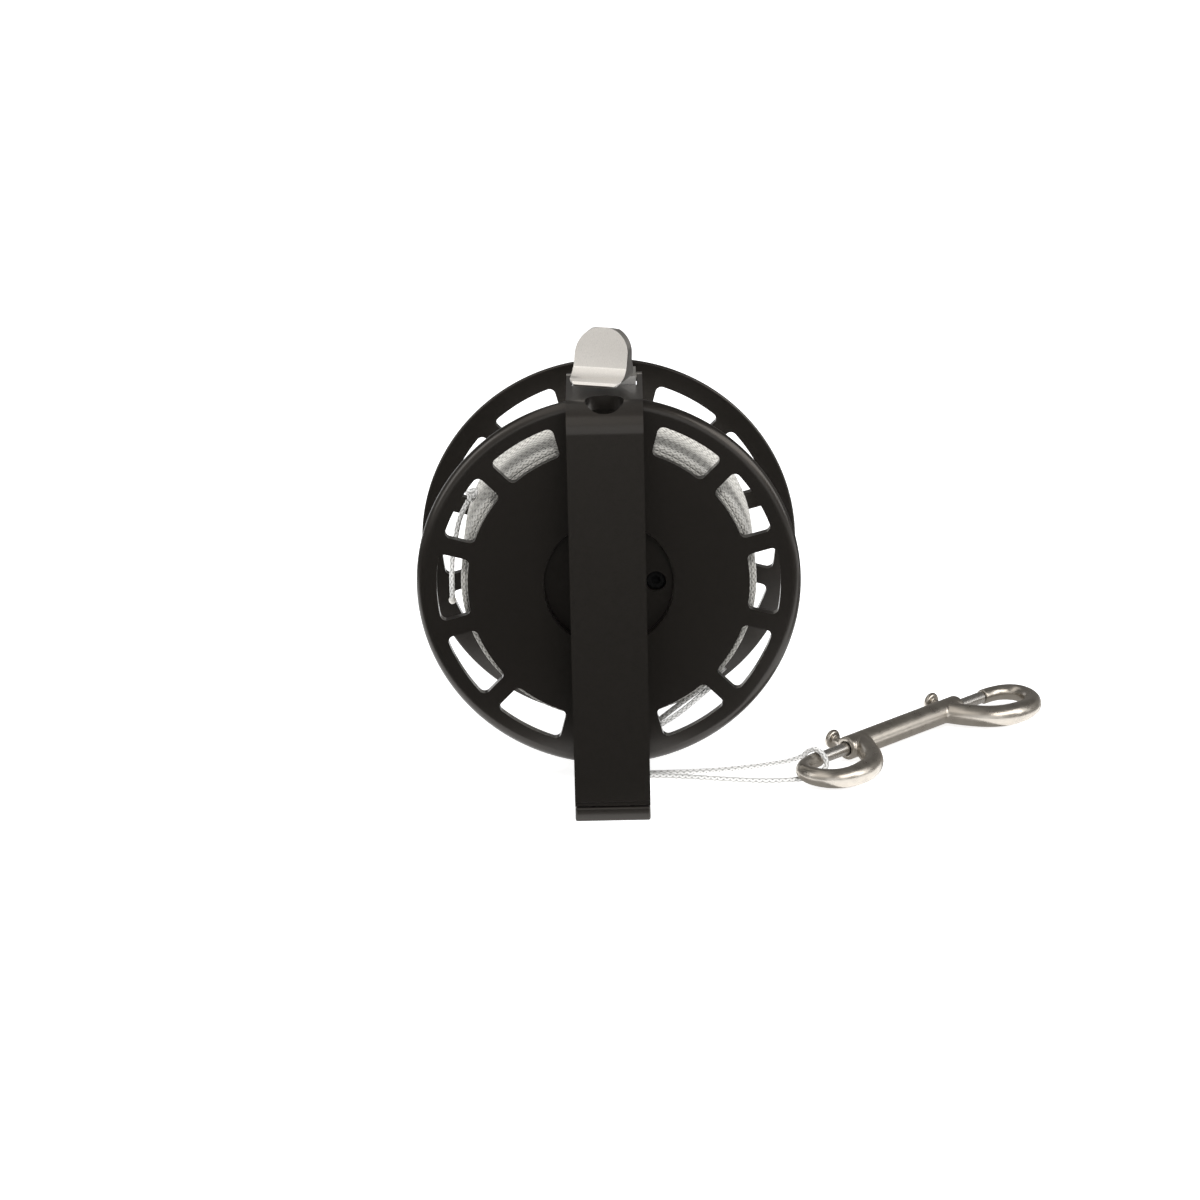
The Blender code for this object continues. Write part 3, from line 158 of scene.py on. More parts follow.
world = bpy.data.worlds.new("surround")
world.use_nodes = True
bpy.context.scene.world = world
tree = world.node_tree
tree.nodes.clear()
rays = place_node(tree, "ShaderNodeLightPath", {}).outputs
through = place_node(tree, "ShaderNodeMath", {0: rays["Is Glossy Ray"], 1: rays["Is Transmission Ray"]},
                     operation="MAXIMUM")
seen = place_node(tree, "ShaderNodeMath", {0: rays["Is Camera Ray"], 1: through.outputs[0]},
                  operation="MAXIMUM")
soft = place_node(tree, "ShaderNodeBackground", {"Color": WHITE, "Strength": SURROUND_LIGHT})
bright = place_node(tree, "ShaderNodeBackground", {"Color": WHITE, "Strength": SURROUND_SEEN})
mixed = place_node(tree, "ShaderNodeMixShader",
                   {0: seen.outputs[0], 1: soft.outputs[0], 2: bright.outputs[0]})
place_node(tree, "ShaderNodeOutputWorld", {0: mixed.outputs[0]})

floor_look = bpy.data.materials.new("floor_white")
floor_look.use_nodes = True
shader = floor_look.node_tree.nodes["Principled BSDF"]
shader.inputs["Base Color"].default_value = (FLOOR_TONE, FLOOR_TONE, FLOOR_TONE, 1)
shader.inputs["Roughness"].default_value = 1
shader.inputs["Specular IOR Level"].default_value = 0
shader.inputs["Emission Color"].default_value = WHITE
shader.inputs["Emission Strength"].default_value = FLOOR_GLOW
four_sided("floor", level(-FLOOR_HALF, -FLOOR_HALF, FLOOR_HALF, FLOOR_HALF, 0), floor_look)

card("card_ceiling", 0.14, level(-2.2, -2.2, 2.2, 2.2, WALL_TOP))
card("card_left", 0.3, upright((-2.1, -2.2), (-2.1, 2.2), 0, WALL_TOP))
card("card_right", 0.3, upright((2.1, -2.2), (2.1, 2.2), 0, WALL_TOP))
card("card_key", 1.2, [(-0.22, -1.03, 0.63), (0.04, -1.03, 0.63), (0.04, -0.55, 1.0), (-0.22, -0.55, 1.0)])
card("card_key_right", 3.6, [(0.55, -1.0, 0.42), (1.15, -0.3, 0.42), (0.95, -0.2, 0.85),
                             (0.42, -0.75, 0.85)])
card("card_back", 0.2, upright((-0.9, 2.05), (2.1, 2.05), 0, WALL_TOP))
card("card_pad", 0.50, upright((-1.7, -0.9), (-0.4, -1.9), 0.1, PAD_CARD_TOP))
card("card_pad_high", 1.15, [(x, y, PAD_CARD_TOP) for x, y in
                             ((-1.7, -0.9), (-0.4, -1.9), (-0.02, 0.1), (-0.5, 0.1))])
card("card_pad_toe", 0.85, level(-0.5, 0.1, -0.02, 0.6, PAD_CARD_TOP))
card("card_floor_front", 0.03, level(-0.35, -1.0, 0.062, -0.07))
card("card_floor_right", 0.03, level(0.062, -1.0, 0.6, -0.14))
card("card_floor_left", 0.05, level(-1.4, -1.0, -0.35, 0.6))
card("card_floor_side", 0.35, [(0.13, -0.06, 0.0005), (0.36, -0.06, 0.0005), (0.36, 0.11, 0.0005),
                               (0.2, 0.11, 0.0005)])
card("card_under", 0.42, [(x, y, CARD_LIFT) for x, y in
                          ((0.0489, -0.0303), (0.0701, -0.0515), (0.1761, 0.0545), (0.1549, 0.0757))])
card("card_floor_back", 0.08, level(0.09, 0.12, 2.0, 2.0))
lamp("lamp_key", (0.1, -0.75, 0.9), LAMP_TARGET, (0.25, 0.2), 10, False)
lamp("lamp_over", (0.0, 0.10, 1.3), LAMP_TARGET, (0.9, 0.7), 4)
lamp("lamp_left", (-1.1, -0.5, 0.7), LAMP_TARGET, (0.5, 0.9), 4)
lamp("lamp_right", (1.2, -0.2, 0.6), LAMP_TARGET, (0.4, 0.9), 4)


# The free line: white braid of eight strands, 2 mm thick, which runs out under the reel to the snap and
# back, with its own end hanging from the knot. The strands are two families of four ridges that pass over
# and under each other. The cut end is melted to a bead.
SPOOL_FRONT_Y = -0.0254
LINE_RADIUS = 0.001
LINE_SIDES = 20
LINE_STEP = 0.00045
BRAID_PITCH = 0.0048
BRAID_STRANDS = 4
BRAID_CROSSING_SHARE = 0.22
BRAID_VALLEY_SHARE = 0.86
BRAID_RIDGE_SHARE = 0.2
BRAID_RELIEF = (1.0, 0.0005)
BRAID_DRIFT_RATE = 4.1
BRAID_SHADED_DEPTH = 0.017
BRAID_LIT_DEPTH = 0.036
FIBRE_SCALE = 2600
FIBRE_SHARE = 0.18
BEAD_SHARE = 1.42
SHARP = math.radians(32)

# Routes of the free line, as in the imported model: (X, depth behind the front flange's face, height)
LOOP_ROUTE = ((0.0374, 0.0050, 0.0363), (0.0245, 0.0056, 0.0253), (0.0120, 0.0064, 0.0171),
              (0.0045, 0.0070, 0.0108), (0.0016, 0.0072, 0.0076), (0.0005, 0.0073, 0.0048),
              (0.0015, 0.0073, 0.0021), (0.0044, 0.0072, 0.0011), (0.0090, 0.0069, 0.0010),
              (0.0140, 0.0063, 0.0010), (0.0220, 0.0052, 0.0010), (0.0320, 0.0032, 0.0010),
              (0.0430, 0.0006, 0.0010), (0.0540, -0.0014, 0.0010), (0.0620, -0.0016, 0.0010),
              (0.0680, -0.0008, 0.0010), (0.0730, 0.0005, 0.0012), (0.0769, 0.0018, 0.0024),
              (0.0789, 0.0034, 0.0053), (0.0777, 0.0048, 0.0084), (0.0751, 0.0070, 0.0097),
              (0.0726, 0.0094, 0.0084), (0.0700, 0.0111, 0.0057), (0.0655, 0.0123, 0.0036),
              (0.0600, 0.0127, 0.0025), (0.0540, 0.0124, 0.0018), (0.0430, 0.0112, 0.0012),
              (0.0320, 0.0100, 0.0010), (0.0220, 0.0093, 0.0010), (0.0140, 0.0090, 0.0010),
              (0.0090, 0.0093, 0.0010), (0.0044, 0.0096, 0.0011), (0.0015, 0.0097, 0.0021),
              (0.0005, 0.0097, 0.0048), (0.0016, 0.0098, 0.0076), (0.0045, 0.0100, 0.0106),
              (0.0120, 0.0104, 0.0169), (0.0240, 0.0110, 0.0262), (0.0353, 0.0114, 0.0345),
              (0.0419, 0.0117, 0.0409))
TAIL_ROUTE = ((-0.0511, 0.0296, 0.1016), (-0.0545, 0.0296, 0.0948), (-0.0564, 0.0297, 0.0870),
              (-0.0578, 0.0298, 0.0790), (-0.0582, 0.0300, 0.0705), (-0.0582, 0.0302, 0.0630))


def add_piece(name, mesh, look, body, *replaced, sharp=SHARP):
    """Links a mesh as a piece that rides on a body and stands for CAD nodes."""
    piece = bpy.data.objects.new(name, mesh)
    bpy.context.collection.objects.link(piece)
    mesh.materials.clear()
    mesh.materials.append(look)
    mesh.shade_smooth()
    if sharp:
        mesh.set_sharp_from_angle(angle=sharp)
        even = piece.modifiers.new("even", "WEIGHTED_NORMAL")
        even.keep_sharp = True
        bpy.context.view_layer.update()
        graph = bpy.context.evaluated_depsgraph_get()
        shaded = bpy.data.meshes.new_from_object(piece.evaluated_get(graph))
        piece.modifiers.clear()
        piece.data = shaded
    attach(piece, body)
    if replaced:
        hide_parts(*replaced)
    return piece


def smooth_curve(route, step):
    """Even points on a Catmull-Rom curve through a route's own points."""
    points = [Vector(place) for place in route]
    points = [2 * points[0] - points[1]] + points + [2 * points[-1] - points[-2]]
    fine = []
    for i in range(1, len(points) - 2):
        a, b, c, d = points[i - 1:i + 3]
        for k in range(24):
            t = k / 24
            fine.append((2 * b + (c - a) * t + (2 * a - 5 * b + 4 * c - d) * t ** 2
                         + (3 * b - a - 3 * c + d) * t ** 3) / 2)
    fine.append(points[-2])
    travelled = [0]
    for first, second in zip(fine, fine[1:]):
        travelled.append(travelled[-1] + (second - first).length)
    count = max(2, round(travelled[-1] / step))
    even = []
    at = 0
    for k in range(count + 1):
        goal = travelled[-1] * k / count
        while at < len(fine) - 2 and travelled[at + 1] < goal:
            at += 1
        share = (goal - travelled[at]) / (travelled[at + 1] - travelled[at])
        even.append(fine[at].lerp(fine[at + 1], share))
    return even


def tube_mesh(points, radius_at, sides, pitch, swell=None, drift=0):
    """A closed tube with U round it and V along it, one per pitch. swell moves its surface in or out."""
    work = bmesh.new()
    layer = work.loops.layers.uv.new("braid")
    rings = []
    normal = None
    along = 0.0
    marks = []
    last = len(points) - 1
    for i, point in enumerate(points):
        if i > 0:
            along += (point - points[i - 1]).length
        way = (points[min(i + 1, last)] - points[max(i - 1, 0)]).normalized()
        if normal is None:
            normal = way.orthogonal().normalized()
        normal = (normal - way * normal.dot(way)).normalized()
        side = way.cross(normal)
        ring = []
        for k in range(sides):
            angle = 2 * math.pi * k / sides
            radius = radius_at(i / last)
            if swell:
                radius *= swell(angle, along)
            outward = normal * math.cos(angle) + side * math.sin(angle)
            ring.append(work.verts.new(point + outward * radius))
        rings.append(ring)
        marks.append(along / pitch + drift * noise.noise(Vector((along * BRAID_DRIFT_RATE, 0.5, 0.5))))
    for i in range(last):
        for k in range(sides):
            nxt = (k + 1) % sides
            face = work.faces.new((rings[i][k], rings[i][nxt], rings[i + 1][nxt], rings[i + 1][k]))
            values = ((k, i), (k + 1, i), (k + 1, i + 1), (k, i + 1))
            for loop, (u, v) in zip(face.loops, values):
                loop[layer].uv = (u / sides, marks[v])
    work.faces.new(list(reversed(rings[0])))
    work.faces.new(rings[-1])
    bmesh.ops.recalc_face_normals(work, faces=work.faces)
    mesh = bpy.data.meshes.new("tube")
    work.to_mesh(mesh)
    work.free()
    return mesh


def new_group(name, kind, inputs, outputs):
    """A node group with named sockets. Returns it with what its inputs give and what its outputs take."""
    group = bpy.data.node_groups.new(name, kind)
    for label, socket_kind in inputs:
        group.interface.new_socket(label, in_out="INPUT", socket_type="NodeSocket" + socket_kind)
    for label, socket_kind in outputs:
        group.interface.new_socket(label, in_out="OUTPUT", socket_type="NodeSocket" + socket_kind)
    return group, group.nodes.new("NodeGroupInput").outputs, group.nodes.new("NodeGroupOutput").inputs


def maths(tree, operation, *values):
    return place_node(tree, "ShaderNodeMath", dict(enumerate(values)), operation=operation).outputs[0]


def fade(tree, value, low, high, dark, light):
    """Goes from one colour to another as a value goes from low to high."""
    share = place_node(tree, "ShaderNodeMapRange", {"Value": value, "From Min": low, "From Max": high})
    factor, first, second, result = 0, 6, 7, 2
    mix = place_node(tree, "ShaderNodeMix", {factor: share.outputs[0], first: dark, second: light},
                     data_type="RGBA")
    return mix.outputs[result]


def braid_effect():
    """A braid read from the tube's UVs. Painted shade darkens its valleys and the spool's front, which the
    flange shades.
    """
    group, given, out = new_group("braid", "ShaderNodeTree",
                                  (("Dark", "Color"), ("Light", "Color"), ("Front Shade", "Float")),
                                  (("Colour", "Color"), ("Height", "Float")))
    sheet = place_node(group, "ShaderNodeUVMap", {}, uv_map="braid")
    around, along, _ = place_node(group, "ShaderNodeSeparateXYZ", {0: sheet.outputs[0]}).outputs
    strands = maths(group, "MULTIPLY", around, BRAID_STRANDS)
    ridges = []
    for sign in (1, -1):
        phase = maths(group, "MULTIPLY_ADD", along, sign * BRAID_STRANDS / 2, strands)
        wave = maths(group, "SINE", maths(group, "MULTIPLY", phase, math.pi))
        ridges.append(maths(group, "ABSOLUTE", wave))
    crossing = maths(group, "MULTIPLY", maths(group, "MULTIPLY", along, BRAID_STRANDS), math.pi)
    over = maths(group, "MULTIPLY_ADD", maths(group, "SINE", crossing), BRAID_CROSSING_SHARE, 0.5)
    height = maths(group, "MAXIMUM", maths(group, "MULTIPLY", ridges[0], over),
                   maths(group, "MULTIPLY", ridges[1], maths(group, "SUBTRACT", 1, over)))
    place = place_node(group, "ShaderNodeTexCoord", {}).outputs["Object"]
    fibre = place_node(group, "ShaderNodeTexNoise", {"Vector": place, "Scale": FIBRE_SCALE, "Detail": 2})
    height = maths(group, "MULTIPLY_ADD", fibre.outputs["Fac"], FIBRE_SHARE, height)
    # Painted shade: the colour dims towards the front flange, which shades the pack.
    depth = place_node(group, "ShaderNodeSeparateXYZ", {0: place}).outputs["Y"]
    dusk = place_node(group, "ShaderNodeMapRange",
                      {"Value": depth, "From Min": SPOOL_FRONT_Y + BRAID_SHADED_DEPTH,
                       "From Max": SPOOL_FRONT_Y + BRAID_LIT_DEPTH, "To Min": given["Front Shade"],
                       "To Max": 1.0}, interpolation_type="SMOOTHSTEP")
    # Painted shade: the braid's low parts take the dark colour, as its valleys lie in shade.
    tint = fade(group, height, 0.16, 0.62, given["Dark"], given["Light"])
    dimmed = place_node(group, "ShaderNodeVectorMath", {0: tint, "Scale": dusk.outputs[0]},
                        operation="SCALE")
    group.links.new(dimmed.outputs[0], out["Colour"])
    group.links.new(height, out["Height"])
    return group


def grain_effect():
    """Noise in Object coordinates that varies a material's colour, gloss and height."""
    group, given, out = new_group("grain", "ShaderNodeTree",
                                  (("Scale", "Float"), ("Detail", "Float"), ("Stretch", "Vector"),
                                   ("Dark", "Color"), ("Light", "Color"), ("Smooth", "Float"),
                                   ("Rough", "Float")),
                                  (("Colour", "Color"), ("Roughness", "Float"), ("Height", "Float")))
    place = place_node(group, "ShaderNodeTexCoord", {}).outputs["Object"]
    stretched = place_node(group, "ShaderNodeMapping", {"Vector": place, "Scale": given["Stretch"]})
    noisy = place_node(group, "ShaderNodeTexNoise", {"Vector": stretched.outputs[0],
                                                     "Scale": given["Scale"], "Detail": given["Detail"]})
    speckle = noisy.outputs["Fac"]
    gloss = place_node(group, "ShaderNodeMapRange",
                       {"Value": speckle, "To Min": given["Smooth"], "To Max": given["Rough"]})
    group.links.new(fade(group, speckle, 0.3, 0.7, given["Dark"], given["Light"]), out["Colour"])
    group.links.new(gloss.outputs[0], out["Roughness"])
    group.links.new(speckle, out["Height"])
    return group


BRAID = braid_effect()
GRAIN = grain_effect()


def new_look(name, effect, values, relief, shares):
    """A material: the shader's own shares, and an effect placed in it with its own values and relief."""
    made = bpy.data.materials.new(name)
    made.use_nodes = True
    tree = made.node_tree
    shader = tree.nodes["Principled BSDF"]
    for label, share in shares.items():
        shader.inputs[label].default_value = share
    placed = place_node(tree, "ShaderNodeGroup", values, node_tree=effect).outputs
    bump = place_node(tree, "ShaderNodeBump",
                      {"Height": placed["Height"], "Strength": relief[0], "Distance": relief[1]})
    tree.links.new(bump.outputs[0], shader.inputs["Normal"])
    tree.links.new(placed["Colour"], shader.inputs["Base Color"])
    if "Roughness" in placed:
        tree.links.new(placed["Roughness"], shader.inputs["Roughness"])
    return made


def braided_look(name, dark, light, front_shade=1.0):
    values = {"Dark": (*dark, 1), "Light": (*light, 1), "Front Shade": front_shade}
    return new_look(name, BRAID, values, BRAID_RELIEF,
                    {"Base Color": (*light, 1), "Roughness": 0.72, "Specular IOR Level": 0.3,
                     "Subsurface Weight": 0.0, "Sheen Weight": 0.25})


def grained_look(name, colour, roughness, scale, tints, gloss, relief, stretch=(1, 1, 1), detail=4,
                 **shares):
    """A material whose grain takes its colour between two tints and its gloss between two roughnesses."""
    values = {"Scale": scale, "Detail": detail, "Stretch": stretch, "Dark": (*tints[0], 1),
              "Light": (*tints[1], 1), "Smooth": gloss[0], "Rough": gloss[1]}
    named = {label.replace("_", " "): share for label, share in shares.items()}
    return new_look(name, GRAIN, values, relief,
                    {"Base Color": (*colour, 1), "Roughness": roughness, "Metallic": 0.0, **named})


def braid_swell(angle, along):
    """The share of the radius at a point of a real braid: two families of ridges, over and under."""
    turns = angle / (2 * math.pi) * BRAID_STRANDS
    phase = along / BRAID_PITCH * BRAID_STRANDS / 2
    over = 0.5 + BRAID_CROSSING_SHARE * math.sin(2 * math.pi * phase)
    first = abs(math.sin(math.pi * (turns + phase))) * over
    second = abs(math.sin(math.pi * (turns - phase))) * (1 - over)
    return BRAID_VALLEY_SHARE + BRAID_RIDGE_SHARE * max(first, second)


def braid_tube(points):
    return tube_mesh(points, lambda share: LINE_RADIUS, LINE_SIDES, BRAID_PITCH, braid_swell)


def in_world(route):
    return [(x, SPOOL_FRONT_Y + depth, height) for x, depth, height in route]


def melted_end(points):
    bead = bmesh.new()
    bmesh.ops.create_uvsphere(bead, u_segments=24, v_segments=16, radius=LINE_RADIUS * BEAD_SHARE)
    for vert in bead.verts:
        vert.co *= 1 + 0.09 * noise.noise(vert.co * 1500)
    bmesh.ops.translate(bead, vec=points[-1], verts=bead.verts)
    mesh = bpy.data.meshes.new("bead")
    bead.to_mesh(mesh)
    bead.free()
    return mesh


# The free line is white. Its dark colour is painted shade in the braid's valleys.
LINE_LOOK = braided_look("white_braid", (0.24, 0.235, 0.22), (0.78, 0.775, 0.76))
BEAD_LOOK = grained_look("melted_line", (0.78, 0.77, 0.72), 0.35, 700,
                         ((0.62, 0.60, 0.55), (0.84, 0.83, 0.79)), (0.25, 0.5), (0.4, 0.0002))
loop_points = smooth_curve(in_world(LOOP_ROUTE), LINE_STEP)
loop_piece = add_piece("free_line", braid_tube(loop_points), LINE_LOOK, "frame", "line_loop", sharp=None)
tail_points = smooth_curve(in_world(TAIL_ROUTE), LINE_STEP)
tail_piece = add_piece("line_end", braid_tube(tail_points), LINE_LOOK, "spool", "line_tail", sharp=None)
bead_piece = add_piece("line_bead", melted_end(tail_points), BEAD_LOOK, "spool", sharp=None)


# The wound line: a full layer of close turns, and over it the outer turns with small gaps and drifts, so
# that the layer below shows between them, as on a spool wound by hand. The layers inside are a plain ring.
AXIS_HEIGHT = 0.0775
SPOOL_WIDTH = 0.0588
SPOOL_AXIS = Vector((0, SPOOL_FRONT_Y, AXIS_HEIGHT))
ON_SPOOL_AXIS = Matrix.Translation(SPOOL_AXIS) @ Matrix.Rotation(math.radians(-90), 4, "X")
PACK_RADIUS = 0.0542
PACK_START = 0.0040
PACK_END = SPOOL_WIDTH - PACK_START
LEAD_CLOCK = math.radians(-47.8)
STEPS_PER_TURN = 190
LAYER_LIFT = 0.00022
OUTER_LAYER_RADIUS = PACK_RADIUS - 1.28 * LINE_RADIUS
OUTER_TURNS = 22
OUTER_DRIFT = 0.0011
INNER_LAYER_RADIUS = PACK_RADIUS - 3.1 * LINE_RADIUS
INNER_TURNS = 24.5
INNER_DRIFT = 0.0001
BRAID_DRIFT = 3
WELDED = 0.00001
MERGED = 0.000005
BED_RADIUS = 0.0500
BED_BORE = 0.0315
BED_INSET = 0.0004


def baked(source):
    """The evaluated mesh of a helper object, welded and facing out. The helper is removed."""
    bpy.context.view_layer.update()
    graph = bpy.context.evaluated_depsgraph_get()
    mesh = bpy.data.meshes.new_from_object(source.evaluated_get(graph))
    mesh.transform(source.matrix_world)
    work = bmesh.new()
    work.from_mesh(mesh)
    bmesh.ops.remove_doubles(work, verts=work.verts, dist=WELDED)
    bmesh.ops.recalc_face_normals(work, faces=work.faces)
    work.to_mesh(mesh)
    work.free()
    bpy.data.objects.remove(source)
    return mesh


def helper_object(mesh):
    made = bpy.data.objects.new("helper", mesh)
    bpy.context.collection.objects.link(made)
    return made


def lathe(profile, steps=96):
    """Revolves a closed ring of (radius, height) points, or an open one that starts on the axis."""
    mesh = bpy.data.meshes.new("profile")
    count = len(profile)
    edges = [(i, i + 1) for i in range(count - 1)]
    if profile[0][0] > 0:
        edges.append((count - 1, 0))
    mesh.from_pydata([(radius, 0, height) for radius, height in profile], edges, [])
    source = helper_object(mesh)
    screw = source.modifiers.new("turn", "SCREW")
    screw.steps = screw.render_steps = steps
    screw.use_merge_vertices = True
    screw.merge_threshold = MERGED
    return baked(source)


def moved(mesh, matrix):
    mesh.transform(matrix)
    return mesh


def wound_path(radius, turns, drift, seed):
    """A helix whose depth and radius wander a little, in the spool's own axes."""
    shift = Vector((seed * 3.1, seed * 1.7, seed))
    count = int(turns * STEPS_PER_TURN)
    first, last = PACK_START + LINE_RADIUS, PACK_END - LINE_RADIUS
    points = []
    for i in range(count + 1):
        share = i / count
        turn_at = share * turns
        angle = LEAD_CLOCK + 2 * math.pi * turn_at
        calm = min(1, 8 * share, 8 * (1 - share))
        around = Vector((math.cos(angle) * 0.9, math.sin(angle) * 0.9, turn_at * 0.31))
        depth = first + (last - first) * share + noise.noise(around + shift) * drift * calm
        depth = min(max(depth, first), last)
        lifted = radius + noise.noise(around * 1.7 - shift) * LAYER_LIFT * calm
        points.append(Vector((lifted * math.cos(angle), -lifted * math.sin(angle), depth)))
    return points


# Painted shade: the dark colour in the braid's valleys, and the dimming to 0.62 at the front flange.
WOUND_LOOK = braided_look("wound_braid", (0.17, 0.163, 0.147), (0.69, 0.672, 0.625), 0.62)
BED_LOOK = grained_look("packed_line", (0.55, 0.54, 0.52), 0.85, 900,
                        ((0.35, 0.34, 0.32), (0.7, 0.69, 0.66)), (0.7, 0.9), (0.6, 0.0004))
outer = wound_path(OUTER_LAYER_RADIUS, OUTER_TURNS, OUTER_DRIFT, 5)
inner = wound_path(INNER_LAYER_RADIUS, INNER_TURNS, INNER_DRIFT, 2)
for name, turns, sides, replaced in (("wound_line_outer", outer, 10, ["line_winding"]),
                                     ("wound_line_inner", inner, 8, [])):
    wound = tube_mesh(turns, lambda share: LINE_RADIUS, sides, BRAID_PITCH, drift=BRAID_DRIFT)
    add_piece(name, moved(wound, ON_SPOOL_AXIS), WOUND_LOOK, "spool", *replaced, sharp=None)
bed_start, bed_end = PACK_START + BED_INSET, PACK_END - BED_INSET
bed = lathe([(BED_RADIUS, bed_start), (BED_RADIUS, bed_end), (BED_BORE, bed_end), (BED_BORE, bed_start)],
            128)
add_piece("packed_line", moved(bed, ON_SPOOL_AXIS), BED_LOOK, "spool", "line_core")


# The knot: an overhand knot of the same braid, drawn tight over the pack's side, a lumpy crossing of three
# short strands.
KNOT_CENTRE = Vector((-0.04984, SPOOL_FRONT_Y + 0.0296, AXIS_HEIGHT + 0.0265))
KNOT_WIDTH = 0.00052
KNOT_DEPTH = 0.0009
KNOT_HEIGHT = 0.00062
KNOT_STEPS = 90
KNOT_LINE_RADIUS = LINE_RADIUS * 1.05
KNOT_PITCH = BRAID_PITCH * 0.7

knot_points = []
for i in range(KNOT_STEPS + 1):
    t = 2 * math.pi * i / KNOT_STEPS
    across = math.sin(t) + 2 * math.sin(2 * t)
    up = math.cos(t) - 2 * math.cos(2 * t)
    behind = -math.sin(3 * t)
    knot_points.append(KNOT_CENTRE + Vector((across * KNOT_WIDTH, behind * KNOT_DEPTH, up * KNOT_HEIGHT)))
knot_mesh = tube_mesh(knot_points, lambda share: KNOT_LINE_RADIUS, 14, KNOT_PITCH, braid_swell)
add_piece("knot", knot_mesh, LINE_LOOK, "spool", "line_knot", sharp=None)


# The flanges: turned discs of black anodised aluminium with rounded rims, a chamfered hub recess with
# counterbored screws, and twelve windows with round corners and broken edges. The finish is near black with
# a warm cast, satin, with a fine bead-blasted grain and handling marks that change its gloss.
FLANGE_RADIUS = 0.070
FLANGE_THICKNESS = 0.0036
RIM_DEPTH = 0.0029
RIM_WIDTH = 0.0034
RIM_BACK = 0.0007
PLATE_RADIUS = 0.0664
WINDOW_OUTER = 0.06255
WINDOW_INNER = 0.05128
WINDOW_CORNER = 0.0022
WINDOW_EDGE = 0.0005
HALF_SPOKE = 0.0032
HUB_RADIUS = 0.0236
HUB_DEPTH = 0.003
HUB_CHAMFER = 0.0005
BOSS_RADIUS = 0.0262
BOSS_DEPTH = 0.010
BUSH_BORE = 0.0083
SCREW_CIRCLE = 0.0172
SCREW_CLOCKS = (0, 120, 240)
HEAD_BORE = 0.0037
HEAD_BORE_DEPTH = 0.0048
SCREW_BORE = 0.0021
KNOB_CIRCLE = 0.041
KNOB_HOLE = 0.0028
WINDOW_COUNT = 12
WINDOW_HALF_TURN = 180 / WINDOW_COUNT
WINDOW_ARC_SHARE = 0.92
WINDOW_MARGIN = 0.0006
CUT_OVERRUN = 0.001


def plate(outline, thickness, holes=()):
    """Fills an outline in local XY, with holes, and gives it a thickness about the plane."""
    curve = bpy.data.curves.new("outline", "CURVE")
    curve.dimensions = "2D"
    curve.fill_mode = "BOTH"
    curve.extrude = thickness / 2
    for ring in (outline, *holes):
        spline = curve.splines.new("POLY")
        spline.points.add(len(ring) - 1)
        for point, place in zip(spline.points, ring):
            point.co = (place[0], place[1], 0, 1)
        spline.use_cyclic_u = True
    source = bpy.data.objects.new("outline", curve)
    bpy.context.collection.objects.link(source)
    return baked(source)


def arc(centre, radius, start, end, steps):
    points = []
    for i in range(steps + 1):
        angle = math.radians(start + (end - start) * i / steps)
        points.append((centre[0] + radius * math.cos(angle), centre[1] + radius * math.sin(angle)))
    return points


def rod(radius, start, end, steps=48):
    start, end = Vector(start), Vector(end)
    along = end - start
    work = bmesh.new()
    bmesh.ops.create_cone(work, cap_ends=True, segments=steps, radius1=radius, radius2=radius,
                          depth=along.length)
    quat = along.to_track_quat("Z", "Y")
    bmesh.ops.transform(work, matrix=Matrix.LocRotScale((start + end) / 2, quat, None), verts=work.verts)
    mesh = bpy.data.meshes.new("rod")
    work.to_mesh(mesh)
    work.free()
    return mesh


def together(*meshes):
    """Several meshes as separate shells of one."""
    work = bmesh.new()
    for mesh in meshes:
        work.from_mesh(mesh)
    mesh = bpy.data.meshes.new("shells")
    work.to_mesh(mesh)
    work.free()
    return mesh


def shaped(mesh, steps, edge=0.0, segments=2, angle=40):
    """Applies (operation, tool mesh) booleans in turn, then rounds the edges sharper than an angle."""
    target = helper_object(mesh)
    tools = []
    for operation, tool_mesh in steps:
        tool = helper_object(tool_mesh)
        tools.append(tool)
        step = target.modifiers.new("cut", "BOOLEAN")
        step.operation = operation
        step.solver = "EXACT"
        step.object = tool
    if edge:
        rounding = target.modifiers.new("edges", "BEVEL")
        rounding.width = edge
        rounding.segments = segments
        rounding.limit_method = "ANGLE"
        rounding.angle_limit = math.radians(angle)
    result = baked(target)
    for tool in tools:
        bpy.data.objects.remove(tool)
    return result


def cuts(*tools):
    return [("DIFFERENCE", tool) for tool in tools]


def anodised(name, base, roughness):
    tints = (tuple(c * 0.82 for c in base), tuple(c * 1.18 for c in base))
    return grained_look(name, base, roughness, 2200, tints, (roughness - 0.05, roughness + 0.06),
                        (0.12, 0.00012), detail=3, Specular_IOR_Level=0.4,
                        Specular_Tint=(1.0, 0.92, 0.84, 1), Coat_Weight=0.35, Coat_Roughness=0.16)


def window_ring(clock):
    """One window's outline: two arcs about the axis and two sides parallel to the spokes."""
    points = []
    corner = WINDOW_CORNER
    for radius, turns in ((WINDOW_OUTER - corner, (1, -1)), (WINDOW_INNER + corner, (-1, 1))):
        outward = turns[0] == 1
        reach = WINDOW_HALF_TURN - math.degrees(math.asin((HALF_SPOKE + corner) / radius))
        for side in turns:
            at = clock + side * reach
            centre = (radius * math.cos(math.radians(at)), radius * math.sin(math.radians(at)))
            edge_way = clock + side * (WINDOW_HALF_TURN + 90)
            face_way = at + (0 if outward else 180)
            first, last = (edge_way, face_way) if side == turns[0] else (face_way, edge_way)
            sweep = (last - first + 180) % 360 - 180
            points += arc(centre, corner, first, first + sweep, 7)
            if side == turns[0]:
                edge_radius = radius + corner if outward else radius - corner
                half_arc = side * reach * WINDOW_ARC_SHARE
                points += arc((0, 0), edge_radius, clock + half_arc, clock - half_arc, 10)
    return points


